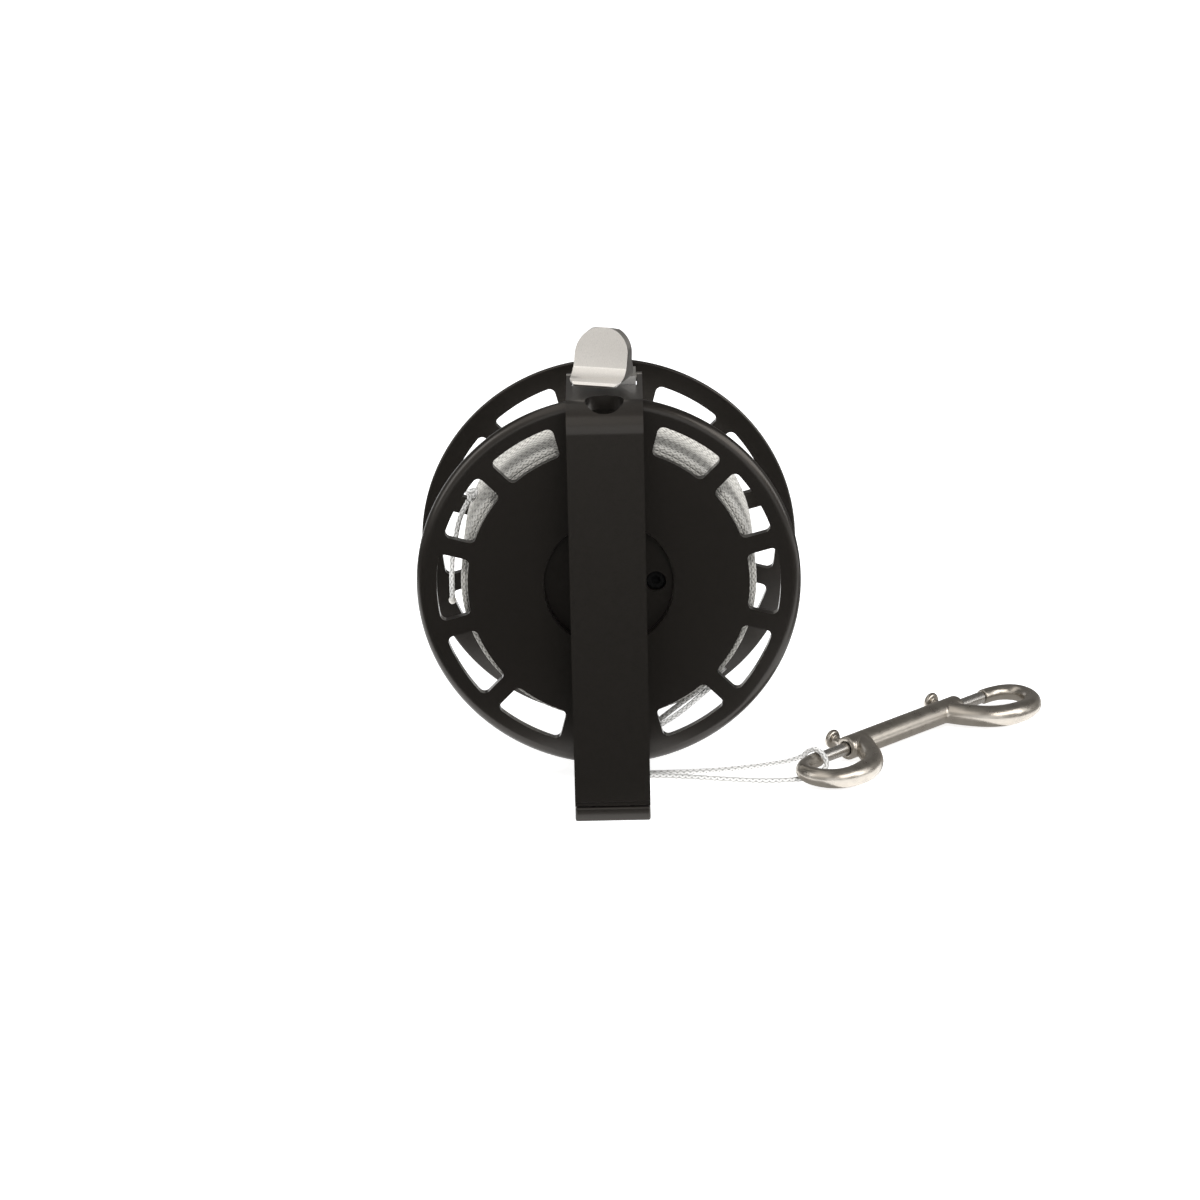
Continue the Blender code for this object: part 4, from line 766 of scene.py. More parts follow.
def break_window_edges(disc):
    """Bevels the windows' edges on both faces of a disc."""
    work = bmesh.new()
    work.from_mesh(disc)
    edges = []
    for edge in work.edges:
        middle = ((edge.verts[0].co + edge.verts[1].co) / 2).to_2d().length
        at_window = WINDOW_INNER - WINDOW_MARGIN < middle < WINDOW_OUTER + WINDOW_MARGIN
        if at_window and len(edge.link_faces) == 2 and edge.calc_face_angle() > 1:
            edges.append(edge)
    bmesh.ops.bevel(work, geom=edges, offset=WINDOW_EDGE, segments=2, profile=0.6, affect="EDGES",
                    clamp_overlap=True)
    work.to_mesh(disc)
    work.free()


def flange_mesh(holes):
    """A flange with its outer face at height zero and its inner side along +Z."""
    thick, rim, hub_edge = FLANGE_THICKNESS, FLANGE_RADIUS, HUB_RADIUS + HUB_CHAMFER
    rings = [window_ring(i * 360 / WINDOW_COUNT) for i in range(WINDOW_COUNT)]
    rings.append(arc((0, 0), hub_edge, 0, 357.5, 143))
    disc = moved(plate(arc((0, 0), PLATE_RADIUS, 0, 358.75, 287), thick, rings + holes),
                 Matrix.Translation((0, 0, thick / 2)))
    break_window_edges(disc)
    ring = [(PLATE_RADIUS, 0)]
    for out, ahead in arc((0, 0), 1, -90, 0, 12):
        ring.append((rim - RIM_WIDTH + RIM_WIDTH * out, RIM_DEPTH + RIM_DEPTH * ahead))
    ring += arc((rim - RIM_BACK, thick - RIM_BACK), RIM_BACK, 0, 90, 6) + [(PLATE_RADIUS, thick)]
    hub = [(hub_edge, 0), (hub_edge, thick), (BOSS_RADIUS, thick), (BOSS_RADIUS, BOSS_DEPTH),
           (BUSH_BORE, BOSS_DEPTH), (BUSH_BORE, HUB_DEPTH), (HUB_RADIUS, HUB_DEPTH),
           (HUB_RADIUS, HUB_CHAMFER)]
    bores = []
    for clock in SCREW_CLOCKS:
        at = Matrix.Rotation(math.radians(clock), 3, "Z") @ Vector((SCREW_CIRCLE, 0, 0))
        up = Vector((0, 0, 1))
        bores += cuts(rod(HEAD_BORE, at - up * CUT_OVERRUN, at + up * (HUB_DEPTH + HEAD_BORE_DEPTH), 40),
                      rod(SCREW_BORE, at, at + up * 2 * BOSS_DEPTH, 24))
    return together(disc, lathe(ring, 288), shaped(lathe(hub, 144), bores))


FLANGE_LOOK = anodised("flange_anodised", (0.0060, 0.0051, 0.0043), 0.31)
FROM_REAR = ON_SPOOL_AXIS @ Matrix.Translation((0, 0, SPOOL_WIDTH)) @ Matrix.Rotation(math.pi, 4, "X")
knob_hole = arc((0, -KNOB_CIRCLE), KNOB_HOLE, 0, 345, 23)
add_piece("flange_front", moved(flange_mesh([]), ON_SPOOL_AXIS), FLANGE_LOOK, "spool", "front_flange")
add_piece("flange_rear", moved(flange_mesh([knob_hole]), FROM_REAR), FLANGE_LOOK, "spool", "rear_flange")


# Hex-socket cap screws of blackened steel, driven into counterbores. One node tree makes them from their
# sizes, with the head's top at the origin and the shank along +Z, and each goes on its CAD screw's axis.
GAP = 0.0003
SCREW_STEPS = 48
HEAD_EDGE_STEPS = 3
HEAD_EDGE_SHARE = 0.12
TAPER_SHARE = 0.2
KEY_SHARE = 0.55
KEY_DEPTH_SHARE = 0.6
HUB_SCREW = {"Head Radius": 0.0034, "Head Height": 0.003, "Shank Radius": 0.0018, "Length": 0.016}


def screw_tree():
    """A cap screw in its own axes: a profile turned about Z, with a six-sided socket cut into its head."""
    tree, given, out = new_group(
        "cap_screw", "GeometryNodeTree",
        (("Head Radius", "Float"), ("Head Height", "Float"), ("Shank Radius", "Float"), ("Length", "Float"),
         ("Look", "Material")), (("Geometry", "Geometry"),))
    head, height, shank, length = [given[i] for i in range(4)]
    edge = maths(tree, "MULTIPLY", height, HEAD_EDGE_SHARE)
    flat = maths(tree, "SUBTRACT", head, edge)
    profile = [(0, 0)]
    for k in range(HEAD_EDGE_STEPS + 1):
        angle = math.radians(90 * k / HEAD_EDGE_STEPS - 90)
        profile.append((maths(tree, "MULTIPLY_ADD", edge, math.cos(angle), flat),
                        maths(tree, "MULTIPLY_ADD", edge, math.sin(angle), edge)))
    taper = maths(tree, "MULTIPLY", shank, TAPER_SHARE)
    profile += [(head, height), (shank, height), (shank, maths(tree, "SUBTRACT", length, taper)),
                (maths(tree, "SUBTRACT", shank, taper), length), (0, length)]

    # Turned: a grid whose columns are copies of the profile, each set at its own angle about Z
    grid = place_node(tree, "GeometryNodeMeshGrid",
                      {"Vertices X": SCREW_STEPS + 1, "Vertices Y": len(profile)})
    index = place_node(tree, "GeometryNodeInputIndex", {}).outputs[0]
    column, row = [place_node(tree, "FunctionNodeIntegerMath", {0: index, 1: len(profile)},
                              operation=operation).outputs[0] for operation in ("DIVIDE", "MODULO")]
    picked = place_node(tree, "GeometryNodeIndexSwitch", {}, data_type="VECTOR")
    while len(picked.index_switch_items) < len(profile):
        picked.index_switch_items.new()
    tree.links.new(row, picked.inputs["Index"])
    for i, (radius, up) in enumerate(profile):
        point = place_node(tree, "ShaderNodeCombineXYZ", {"X": radius, "Z": up})
        tree.links.new(point.outputs[0], picked.inputs[i + 1])
    angle = maths(tree, "MULTIPLY", column, 2 * math.pi / SCREW_STEPS)
    turned = place_node(tree, "ShaderNodeVectorRotate", {"Vector": picked.outputs[0], "Angle": angle},
                        rotation_type="Z_AXIS")
    solid = place_node(tree, "GeometryNodeSetPosition",
                       {"Geometry": grid.outputs["Mesh"], "Position": turned.outputs[0]})
    solid = place_node(tree, "GeometryNodeMergeByDistance",
                       {"Geometry": solid.outputs[0], "Distance": MERGED})

    # Socketed: a six-sided key from just above the head down to the socket's floor
    key_length = maths(tree, "MULTIPLY_ADD", height, KEY_DEPTH_SHARE, CUT_OVERRUN)
    key_radius = maths(tree, "MULTIPLY", head, KEY_SHARE)
    key = place_node(tree, "GeometryNodeMeshCylinder",
                     {"Vertices": 6, "Radius": key_radius, "Depth": key_length})
    middle = place_node(tree, "ShaderNodeCombineXYZ",
                        {"Z": maths(tree, "MULTIPLY_ADD", key_length, 0.5, -CUT_OVERRUN)})
    key = place_node(tree, "GeometryNodeTransform",
                     {"Geometry": key.outputs["Mesh"], "Translation": middle.outputs[0],
                      "Rotation": (0, 0, math.radians(90))})
    cut = place_node(tree, "GeometryNodeMeshBoolean", {0: solid.outputs[0], 1: key.outputs[0]},
                     operation="DIFFERENCE", solver="EXACT")
    whole = place_node(tree, "GeometryNodeRealizeInstances", {0: cut.outputs[0]})
    dressed = place_node(tree, "GeometryNodeSetMaterial",
                         {"Geometry": whole.outputs[0], "Material": given["Look"]})
    tree.links.new(dressed.outputs[0], out["Geometry"])
    return tree


def grown(tree, sizes):
    """The plain mesh that a tree makes from its named inputs."""
    source = helper_object(bpy.data.meshes.new(tree.name))
    maker = source.modifiers.new(tree.name, "NODES")
    maker.node_group = tree
    for socket in tree.interface.items_tree:
        if socket.in_out == "INPUT":
            maker[socket.identifier] = sizes[socket.name]
    return baked(source)


def screws(name, sizes, places, direction, body):
    turn = Vector(direction).to_track_quat("Z", "Y").to_matrix().to_4x4()
    for i, place in enumerate(places):
        number = f"_{i + 1}" if len(places) > 1 else ""
        mesh = grown(CAP_SCREW, {**sizes, "Look": BLACK_STEEL})
        add_piece(f"cap_{name}{number}", moved(mesh, Matrix.Translation(place) @ turn), BLACK_STEEL, body,
                  name + number)


def on_spool(depth, radius=0.0, clock=0.0):
    angle = math.radians(clock)
    return SPOOL_AXIS + Vector((radius * math.cos(angle), depth, radius * math.sin(angle)))


CAP_SCREW = screw_tree()
BLACK_STEEL = grained_look("blackened_steel", (0.003, 0.003, 0.003), 0.6, 1200,
                           ((0.002, 0.002, 0.002), (0.005, 0.005, 0.005)), (0.55, 0.7), (0.1, 0.0001),
                           Specular_IOR_Level=0.08)
head_depth = HUB_DEPTH + HEAD_BORE_DEPTH - GAP - HUB_SCREW["Head Height"]
for name, depth, way in (("front_flange_screw", head_depth, 1),
                         ("rear_flange_screw", SPOOL_WIDTH - head_depth, -1)):
    places = [on_spool(depth, SCREW_CIRCLE, clock) for clock in SCREW_CLOCKS]
    screws(name, HUB_SCREW, places, (0, way, 0), "spool")


# What the spool turns on: plastic bushes in the flanges, a turned steel axle through them, and a bronze drag
# washer behind. The lobed plastic nut presses the washer, and a screw at each end holds the axle.
BUSH_HEAD_RADIUS = 0.0105
BUSH_HEAD_START = 0.0012
BUSH_HEAD_END = 0.0027
BUSH_RADIUS = 0.008
BUSH_END = 0.018
TURNED_EDGE = 0.0003
AXLE_RADIUS = 0.005
AXLE_TAP_RADIUS = 0.0021
AXLE_TAP_DEPTH = 0.012
AXLE_HEAD_RADIUS = 0.009
AXLE_HEAD_FRONT = -0.0017
AXLE_HEAD_REAR = 0.0009
AXLE_HEAD_CHAMFER = 0.0002
AXLE_STUB_RADIUS = 0.004
AXLE_STUB_FRONT = -0.0057
AXLE_REAR = SPOOL_WIDTH + 0.0129
AXLE_CHAMFER = 0.0004
AXLE_CLEAR_RADIUS = AXLE_RADIUS + GAP
AXLE_SCREW = {"Head Radius": 0.0065, "Head Height": 0.002, "Shank Radius": 0.0018, "Length": 0.011}
AXLE_SCREW_FRONT = -0.0083
WASHER_RADIUS = 0.009
WASHER_START = SPOOL_WIDTH - 0.0009
WASHER_THICKNESS = 0.0008
WASHER_EDGE = 0.0002
NUT_RADIUS = 0.0155
NUT_START = SPOOL_WIDTH + 0.0002
NUT_END = AXLE_REAR - GAP
NUT_CHAMFER = 0.0003
NUT_EDGE = 0.0009
NUT_LOBES = 7
LOBE_RADIUS = 0.005
LOBE_CIRCLE = 0.019
LOBE_OVERRUN = 0.002


def rounded(profile, radius, steps=3, closed=True):
    """Rounds the corners of a profile with arcs, tangent to both sides."""
    points = [Vector(p) for p in profile]
    count = len(points)
    out = []
    for i, point in enumerate(points):
        if not closed and i in (0, count - 1):
            out.append(tuple(point))
            continue
        before, after = points[i - 1] - point, points[(i + 1) % count] - point
        if point.x < 1e-6 or before.length < 1e-7 or after.length < 1e-7:
            out.append(tuple(point))
            continue
        reach = min(radius, before.length * 0.45, after.length * 0.45)
        first, last = point + before.normalized() * reach, point + after.normalized() * reach
        for k in range(steps + 1):
            t = k / steps
            out.append(tuple(first * (1 - t) ** 2 + point * 2 * t * (1 - t) + last * t ** 2))
    return out


def steel(name, tone, roughness, scale, stretch, relief):
    """Stainless steel: bright, with a fine grain that runs along one way."""
    tints = (tuple(c * 0.9 for c in tone), tuple(min(1, c * 1.05) for c in tone))
    return grained_look(name, tone, roughness, scale, tints, (roughness - 0.04, roughness + 0.08), relief,
                        stretch, Metallic=1.0)


def turned_piece(name, profile, look, body, node, place=ON_SPOOL_AXIS, steps=96):
    return add_piece(name, moved(lathe(profile, steps), place), look, body, node)


def ring_profile(inner, outer, start, end):
    return [(inner, start), (outer, start), (outer, end), (inner, end)]


PLASTIC_LOOK = grained_look("black_plastic", (0.016, 0.016, 0.016), 0.45, 1800,
                            ((0.012, 0.012, 0.012), (0.022, 0.022, 0.022)), (0.4, 0.55), (0.15, 0.0001))
BRONZE_LOOK = grained_look("bronze", (0.42, 0.27, 0.12), 0.35, 900, ((0.36, 0.22, 0.10), (0.48, 0.31, 0.15)),
                           (0.3, 0.45), (0.1, 0.0001), Metallic=1.0)
TURNED_STEEL = steel("turned_steel", (0.62, 0.60, 0.57), 0.26, 900, (1, 6, 1), (0.08, 0.00005))

bush = rounded([(BUSH_HEAD_RADIUS, BUSH_HEAD_START), (AXLE_CLEAR_RADIUS, BUSH_HEAD_START),
                (AXLE_CLEAR_RADIUS, BUSH_END), (BUSH_RADIUS, BUSH_END), (BUSH_RADIUS, BUSH_HEAD_END),
                (BUSH_HEAD_RADIUS, BUSH_HEAD_END)], TURNED_EDGE)
turned_piece("collar_front_bush", bush, PLASTIC_LOOK, "spool", "front_bush")
turned_piece("collar_rear_bush", bush, PLASTIC_LOOK, "spool", "rear_bush", FROM_REAR)

axle = [(0, AXLE_REAR - AXLE_TAP_DEPTH), (AXLE_TAP_RADIUS, AXLE_REAR - AXLE_TAP_DEPTH),
        (AXLE_TAP_RADIUS, AXLE_REAR), (AXLE_RADIUS - AXLE_CHAMFER, AXLE_REAR),
        (AXLE_RADIUS, AXLE_REAR - AXLE_CHAMFER), (AXLE_RADIUS, AXLE_HEAD_REAR),
        (AXLE_HEAD_RADIUS - AXLE_HEAD_CHAMFER, AXLE_HEAD_REAR),
        (AXLE_HEAD_RADIUS, AXLE_HEAD_REAR - AXLE_HEAD_CHAMFER),
        (AXLE_HEAD_RADIUS, AXLE_HEAD_FRONT), (AXLE_STUB_RADIUS, AXLE_HEAD_FRONT),
        (AXLE_STUB_RADIUS, AXLE_STUB_FRONT), (AXLE_TAP_RADIUS, AXLE_STUB_FRONT),
        (AXLE_TAP_RADIUS, AXLE_STUB_FRONT + AXLE_TAP_DEPTH), (0, AXLE_STUB_FRONT + AXLE_TAP_DEPTH)]
turned_piece("axle_shaft", axle, TURNED_STEEL, "frame", "axle")
screws("axle_front_screw", AXLE_SCREW, [on_spool(AXLE_SCREW_FRONT)], (0, 1, 0), "frame")
screws("axle_rear_screw", AXLE_SCREW, [on_spool(AXLE_REAR + GAP + AXLE_SCREW["Head Height"])], (0, -1, 0),
       "frame")

washer = ring_profile(AXLE_CLEAR_RADIUS, WASHER_RADIUS, WASHER_START, WASHER_START + WASHER_THICKNESS)
turned_piece("washer", rounded(washer, WASHER_EDGE), BRONZE_LOOK, "frame", "drag_washer")

nut = lathe([(AXLE_CLEAR_RADIUS, NUT_START), (NUT_RADIUS - NUT_CHAMFER, NUT_START),
             (NUT_RADIUS, NUT_START + NUT_CHAMFER), (NUT_RADIUS, NUT_END - NUT_CHAMFER),
             (NUT_RADIUS - NUT_CHAMFER, NUT_END), (AXLE_CLEAR_RADIUS, NUT_END)], 144)
lobe_cuts = []
for lobe in range(NUT_LOBES):
    at = Matrix.Rotation(math.radians((lobe + 0.5) * 360 / NUT_LOBES), 3, "Z") @ Vector((LOBE_CIRCLE, 0, 0))
    lobe_cuts += cuts(rod(LOBE_RADIUS, (at.x, -at.y, NUT_START - LOBE_OVERRUN),
                          (at.x, -at.y, NUT_END + LOBE_OVERRUN)))
nut = moved(shaped(nut, lobe_cuts, edge=NUT_EDGE, segments=3, angle=50), ON_SPOOL_AXIS)
add_piece("tension_nut", nut, PLASTIC_LOOK, "tension_knob", "tension_knob")


# The winding knob: a plastic barrel with a domed end, on the rear flange. It turns on a shoulder screw of
# turned steel, over a steel collar that stands on the flange.
KNOB_PLACE = ON_SPOOL_AXIS @ Matrix.Translation((0, KNOB_CIRCLE, 0))
KNOB_START = SPOOL_WIDTH + 0.0033
KNOB_END = SPOOL_WIDTH + 0.030
KNOB_RADIUS = 0.0092
KNOB_STEP = 0.0007
KNOB_SHARES = ((0.82, 0), (0.93, 0.16), (1, 0.45), (0.97, 0.8), (0.86, 0.95), (0.74, 1))
KNOB_BORE = 0.0033
KNOB_HEAD_BORE = 0.0053
KNOB_HEAD_BORE_DEPTH = 0.0047
COLLAR_BORE = 0.0028
COLLAR_RADIUS = 0.007
COLLAR_END = SPOOL_WIDTH + 0.003
PIVOT_SHANK_RADIUS = 0.0025
PIVOT_RADIUS = 0.003
PIVOT_HEAD_RADIUS = 0.005
PIVOT_SOCKET_RADIUS = 0.0026
PIVOT_END = KNOB_END - 0.0327
PIVOT_SHOULDER = KNOB_END - 0.0267
PIVOT_HEAD_START = KNOB_END - 0.0044
PIVOT_HEAD_END = KNOB_END - 0.0008
PIVOT_SOCKET_END = KNOB_END - 0.0029

barrel = smooth_curve([(KNOB_RADIUS * out, 0, KNOB_START + (KNOB_END - KNOB_START) * up)
                       for out, up in KNOB_SHARES], KNOB_STEP)
barrel_profile = [(KNOB_BORE, KNOB_START)] + [(p.x, p.z) for p in barrel]
barrel_profile += [(KNOB_HEAD_BORE, KNOB_END), (KNOB_HEAD_BORE, KNOB_END - KNOB_HEAD_BORE_DEPTH),
                   (KNOB_BORE, KNOB_END - KNOB_HEAD_BORE_DEPTH)]
turned_piece("knob_barrel", barrel_profile, PLASTIC_LOOK, "winding_knob", "winding_knob", KNOB_PLACE)
collar = rounded(ring_profile(COLLAR_BORE, COLLAR_RADIUS, SPOOL_WIDTH + GAP, COLLAR_END), TURNED_EDGE)
turned_piece("knob_seat", collar, TURNED_STEEL, "spool", "knob_collar", KNOB_PLACE)
pivot_screw = [(0, PIVOT_END), (PIVOT_SHANK_RADIUS, PIVOT_END), (PIVOT_SHANK_RADIUS, PIVOT_SHOULDER),
               (PIVOT_RADIUS, PIVOT_SHOULDER), (PIVOT_RADIUS, PIVOT_HEAD_START),
               (PIVOT_HEAD_RADIUS, PIVOT_HEAD_START), (PIVOT_HEAD_RADIUS, PIVOT_HEAD_END - TURNED_EDGE),
               (PIVOT_HEAD_RADIUS - TURNED_EDGE, PIVOT_HEAD_END), (PIVOT_SOCKET_RADIUS, PIVOT_HEAD_END),
               (PIVOT_SOCKET_RADIUS, PIVOT_SOCKET_END), (0, PIVOT_SOCKET_END)]
turned_piece("knob_pivot", pivot_screw, TURNED_STEEL, "spool", "knob_screw", KNOB_PLACE)


# The strap: one flat bar of black anodised aluminium, bent back over the flange. It has a vertical clip hole
# through its bend, a slot for the lever, broken edges, and a seam where two screws hold it on the foot.
STAND_YZ = Matrix(((0, 0, 1, 0), (1, 0, 0, 0), (0, 1, 0, 0), (0, 0, 0, 1)))
ARM_TOP = 0.155
ARM_BOTTOM = 0.150
GRIP_FRONT = -0.0634
BAR_WIDTH = 0.0272
BAR_THICKNESS = 0.005
BEND_RADIUS = 0.0105
BAR_EDGE = 0.0006
FOOT_THICKNESS = 0.0053
ARM_REAR_Y = SPOOL_FRONT_Y + 0.0099
CLIP_HOLE_Y = GRIP_FRONT + 0.0088
CLIP_HOLE_RADIUS = 0.006
CLIP_HOLE_SPREAD = 0.0009
PIVOT = Vector((0, SPOOL_FRONT_Y + 0.0062, ARM_TOP - 0.0013))
PIN_RADIUS = 0.0015
SLOT_HALF = 0.0116
POCKET_DEPTH = 0.0026
SCREW_SPACING = 0.014
PLATE_MIDDLE_Y = SPOOL_FRONT_Y - 0.004
STRAP_SCREW_Y = GRIP_FRONT + BAR_THICKNESS / 2
STRAP_BOTTOM = FOOT_THICKNESS + GAP
SEAM_INSET = 0.0008
SEAM_START = STRAP_BOTTOM + 0.0015
SEAM_END = STRAP_BOTTOM + 0.0019
ARM_END_RADIUS = 0.0016
CLIP_CUT = 0.024
CLIP_CUT_MIDDLE = 0.151
SLOT_FRONT_Y = SPOOL_FRONT_Y - 0.0006
POCKET_FRONT_Y = SPOOL_FRONT_Y - 0.0093
BELOW_ARM = 0.14
ABOVE_ARM = 0.16
OVERRUN = 0.02
SMALL_BORE = 0.0015
STRAP_BORE_TOP = 0.013
ARM_BORE_BOTTOM = 0.149
SCREW_SIDES = (-SCREW_SPACING / 2, SCREW_SPACING / 2)


def block(low, high):
    low, high = Vector(low), Vector(high)
    work = bmesh.new()
    bmesh.ops.create_cube(work, size=1)
    placed = Matrix.LocRotScale((low + high) / 2, None, high - low)
    bmesh.ops.transform(work, matrix=placed, verts=work.verts)
    mesh = bpy.data.meshes.new("block")
    work.to_mesh(mesh)
    work.free()
    return mesh


def bore(radius, x, y, low, high, steps=24):
    """An upright hole's tool."""
    return rod(radius, (x, y, low), (x, y, high), steps)


STRAP_LOOK = anodised("strap_anodised", (0.0072, 0.0063, 0.0054), 0.34)
bend_centre = (GRIP_FRONT + BEND_RADIUS, ARM_TOP - BEND_RADIUS)
strap_side = [(GRIP_FRONT + SEAM_INSET, STRAP_BOTTOM), (GRIP_FRONT + SEAM_INSET, SEAM_START),
              (GRIP_FRONT, SEAM_END)]
strap_side += arc(bend_centre, BEND_RADIUS, 180, 90, 36)
strap_side += arc((ARM_REAR_Y - ARM_END_RADIUS, ARM_TOP - ARM_END_RADIUS), ARM_END_RADIUS, 90, 0, 8)
strap_side += [(ARM_REAR_Y, ARM_BOTTOM)]
strap_side += arc(bend_centre, BEND_RADIUS - BAR_THICKNESS, 90, 180, 28)
strap_side += [(GRIP_FRONT + BAR_THICKNESS, STRAP_BOTTOM)]
clip_hole = arc((CLIP_HOLE_SPREAD, CLIP_HOLE_Y), CLIP_HOLE_RADIUS, -90, 90, 40)
clip_hole += arc((-CLIP_HOLE_SPREAD, CLIP_HOLE_Y), CLIP_HOLE_RADIUS, 90, 270, 40)
strap_cuts = cuts(
    moved(plate(clip_hole, CLIP_CUT), Matrix.Translation((0, 0, CLIP_CUT_MIDDLE))),
    block((-SLOT_HALF, SLOT_FRONT_Y, BELOW_ARM), (SLOT_HALF, OVERRUN, ABOVE_ARM)),
    block((-SLOT_HALF, POCKET_FRONT_Y, ARM_TOP - POCKET_DEPTH), (SLOT_HALF, OVERRUN, ABOVE_ARM)),
    rod(PIN_RADIUS + GAP / 2, PIVOT - Vector((OVERRUN, 0, 0)), PIVOT + Vector((OVERRUN, 0, 0)), 32))
for x in SCREW_SIDES:
    strap_cuts += cuts(bore(SMALL_BORE, x, STRAP_SCREW_Y, 0, STRAP_BORE_TOP),
                       bore(SMALL_BORE, x, PLATE_MIDDLE_Y, ARM_BORE_BOTTOM, ABOVE_ARM))
strap_mesh = moved(plate(strap_side, BAR_WIDTH), STAND_YZ)
strap_mesh = shaped(strap_mesh, strap_cuts, edge=BAR_EDGE, angle=50)
add_piece("grip", strap_mesh, STRAP_LOOK, "frame", "grip_strap")
pin = rounded([(0, -BAR_WIDTH / 2), (PIN_RADIUS, -BAR_WIDTH / 2), (PIN_RADIUS, BAR_WIDTH / 2),
               (0, BAR_WIDTH / 2)], TURNED_EDGE, closed=False)
turned_piece("pin", pin, TURNED_STEEL, "frame", "lever_pin",
             Matrix.Translation(PIVOT) @ Matrix.Rotation(math.radians(90), 4, "Y"), 48)


# The inner plate and the foot, flat bars in the strap's finish. The plate closes the grip's D and holds the
# axle. The foot stands on the ground, with a steel eyelet that the line leaves by. Six small screws join
# the three bars.
PLATE_HALF_WIDTH = 0.012
PLATE_FRONT_Y = SPOOL_FRONT_Y - 0.006
PLATE_REAR_Y = SPOOL_FRONT_Y - 0.002
AXLE_STUB_BORE = 0.0043
PLATE_BORE_DEPTH = 0.0143
PLATE_TOP_BORE_BOTTOM = 0.1407
FOOT_REAR_Y = SPOOL_FRONT_Y + 0.056
FOOT_EDGE = 0.0008
FOOT_HOLE_EDGE = 0.00015
GUIDE_Y = SPOOL_FRONT_Y + 0.0085
GUIDE_BORE = 0.0045
GROOVE_Y = GUIDE_Y - 0.0012
GROOVE_HALF = 0.00375
GROOVE_TOP = 0.0032
BELOW_FOOT = -0.001
ABOVE_FOOT = 0.007
HEAD_SINK_RADIUS = 0.002
HEAD_SINK_DEPTH = 0.0024
EYELET_BORE = 0.0032
EYELET_RADIUS = 0.0042
EYELET_LIP_RADIUS = 0.0056
EYELET_START = 0.0035
EYELET_LIP_START = 0.0056
EYELET_TOP = 0.0064
EYELET_ROUND = 0.0008
BAR_SCREW = {"Head Radius": 0.0017, "Head Height": 0.002, "Shank Radius": 0.00125, "Length": 0.009}
TOP_SCREW = {**BAR_SCREW, "Head Height": 0.0008}

plate_mesh = block((-PLATE_HALF_WIDTH, PLATE_FRONT_Y, STRAP_BOTTOM),
                   (PLATE_HALF_WIDTH, PLATE_REAR_Y, ARM_BOTTOM - GAP))
plate_cuts = cuts(rod(AXLE_STUB_BORE, on_spool(-0.008), on_spool(0)))
foot_mesh = shaped(block((-BAR_WIDTH / 2, GRIP_FRONT, 0), (BAR_WIDTH / 2, FOOT_REAR_Y, FOOT_THICKNESS)), [],
                   edge=FOOT_EDGE, segments=3)
foot_cuts = cuts(bore(GUIDE_BORE, 0, GUIDE_Y, BELOW_FOOT, ABOVE_FOOT, 64),
                 block((0, GROOVE_Y - GROOVE_HALF, BELOW_FOOT),
                       (OVERRUN, GROOVE_Y + GROOVE_HALF, GROOVE_TOP)))
for x in SCREW_SIDES:
    for y in (STRAP_SCREW_Y, PLATE_MIDDLE_Y):
        foot_cuts += cuts(bore(HEAD_SINK_RADIUS, x, y, BELOW_FOOT, HEAD_SINK_DEPTH, 32),
                          bore(SMALL_BORE, x, y, 0, ABOVE_FOOT))
    plate_cuts += cuts(bore(SMALL_BORE, x, PLATE_MIDDLE_Y, 0, PLATE_BORE_DEPTH),
                       bore(SMALL_BORE, x, PLATE_MIDDLE_Y, PLATE_TOP_BORE_BOTTOM, ABOVE_ARM))
add_piece("inner_bar", shaped(plate_mesh, plate_cuts, edge=BAR_EDGE, angle=50), STRAP_LOOK, "frame",
          "inner_plate")
add_piece("foot", shaped(foot_mesh, foot_cuts, edge=FOOT_HOLE_EDGE, segments=1, angle=60), STRAP_LOOK,
          "frame", "foot_arm")

lip_middle = EYELET_LIP_RADIUS - EYELET_ROUND
eyelet = [(EYELET_BORE, EYELET_START), (EYELET_RADIUS, EYELET_START), (EYELET_RADIUS, EYELET_LIP_START),
          (EYELET_LIP_RADIUS, EYELET_LIP_START)]
eyelet += arc((lip_middle, EYELET_TOP), EYELET_ROUND, 0, 90, 8)
eyelet += arc((EYELET_BORE + EYELET_ROUND, EYELET_TOP), EYELET_ROUND, 90, 180, 8)
turned_piece("eyelet", eyelet, TURNED_STEEL, "frame", "line_guide", Matrix.Translation((0, GUIDE_Y, 0)))

head_z = HEAD_SINK_DEPTH - GAP - BAR_SCREW["Head Height"]
top_head_z = ARM_TOP - POCKET_DEPTH + GAP + TOP_SCREW["Head Height"]
for name, sizes, y, z, up in (("strap_screw", BAR_SCREW, STRAP_SCREW_Y, head_z, 1),
                              ("plate_foot_screw", BAR_SCREW, PLATE_MIDDLE_Y, head_z, 1),
                              ("plate_top_screw", TOP_SCREW, PLATE_MIDDLE_Y, top_head_z, -1)):
    screws(name, sizes, [Vector((x, y, z)) for x in SCREW_SIDES], (0, 0, up), "frame")


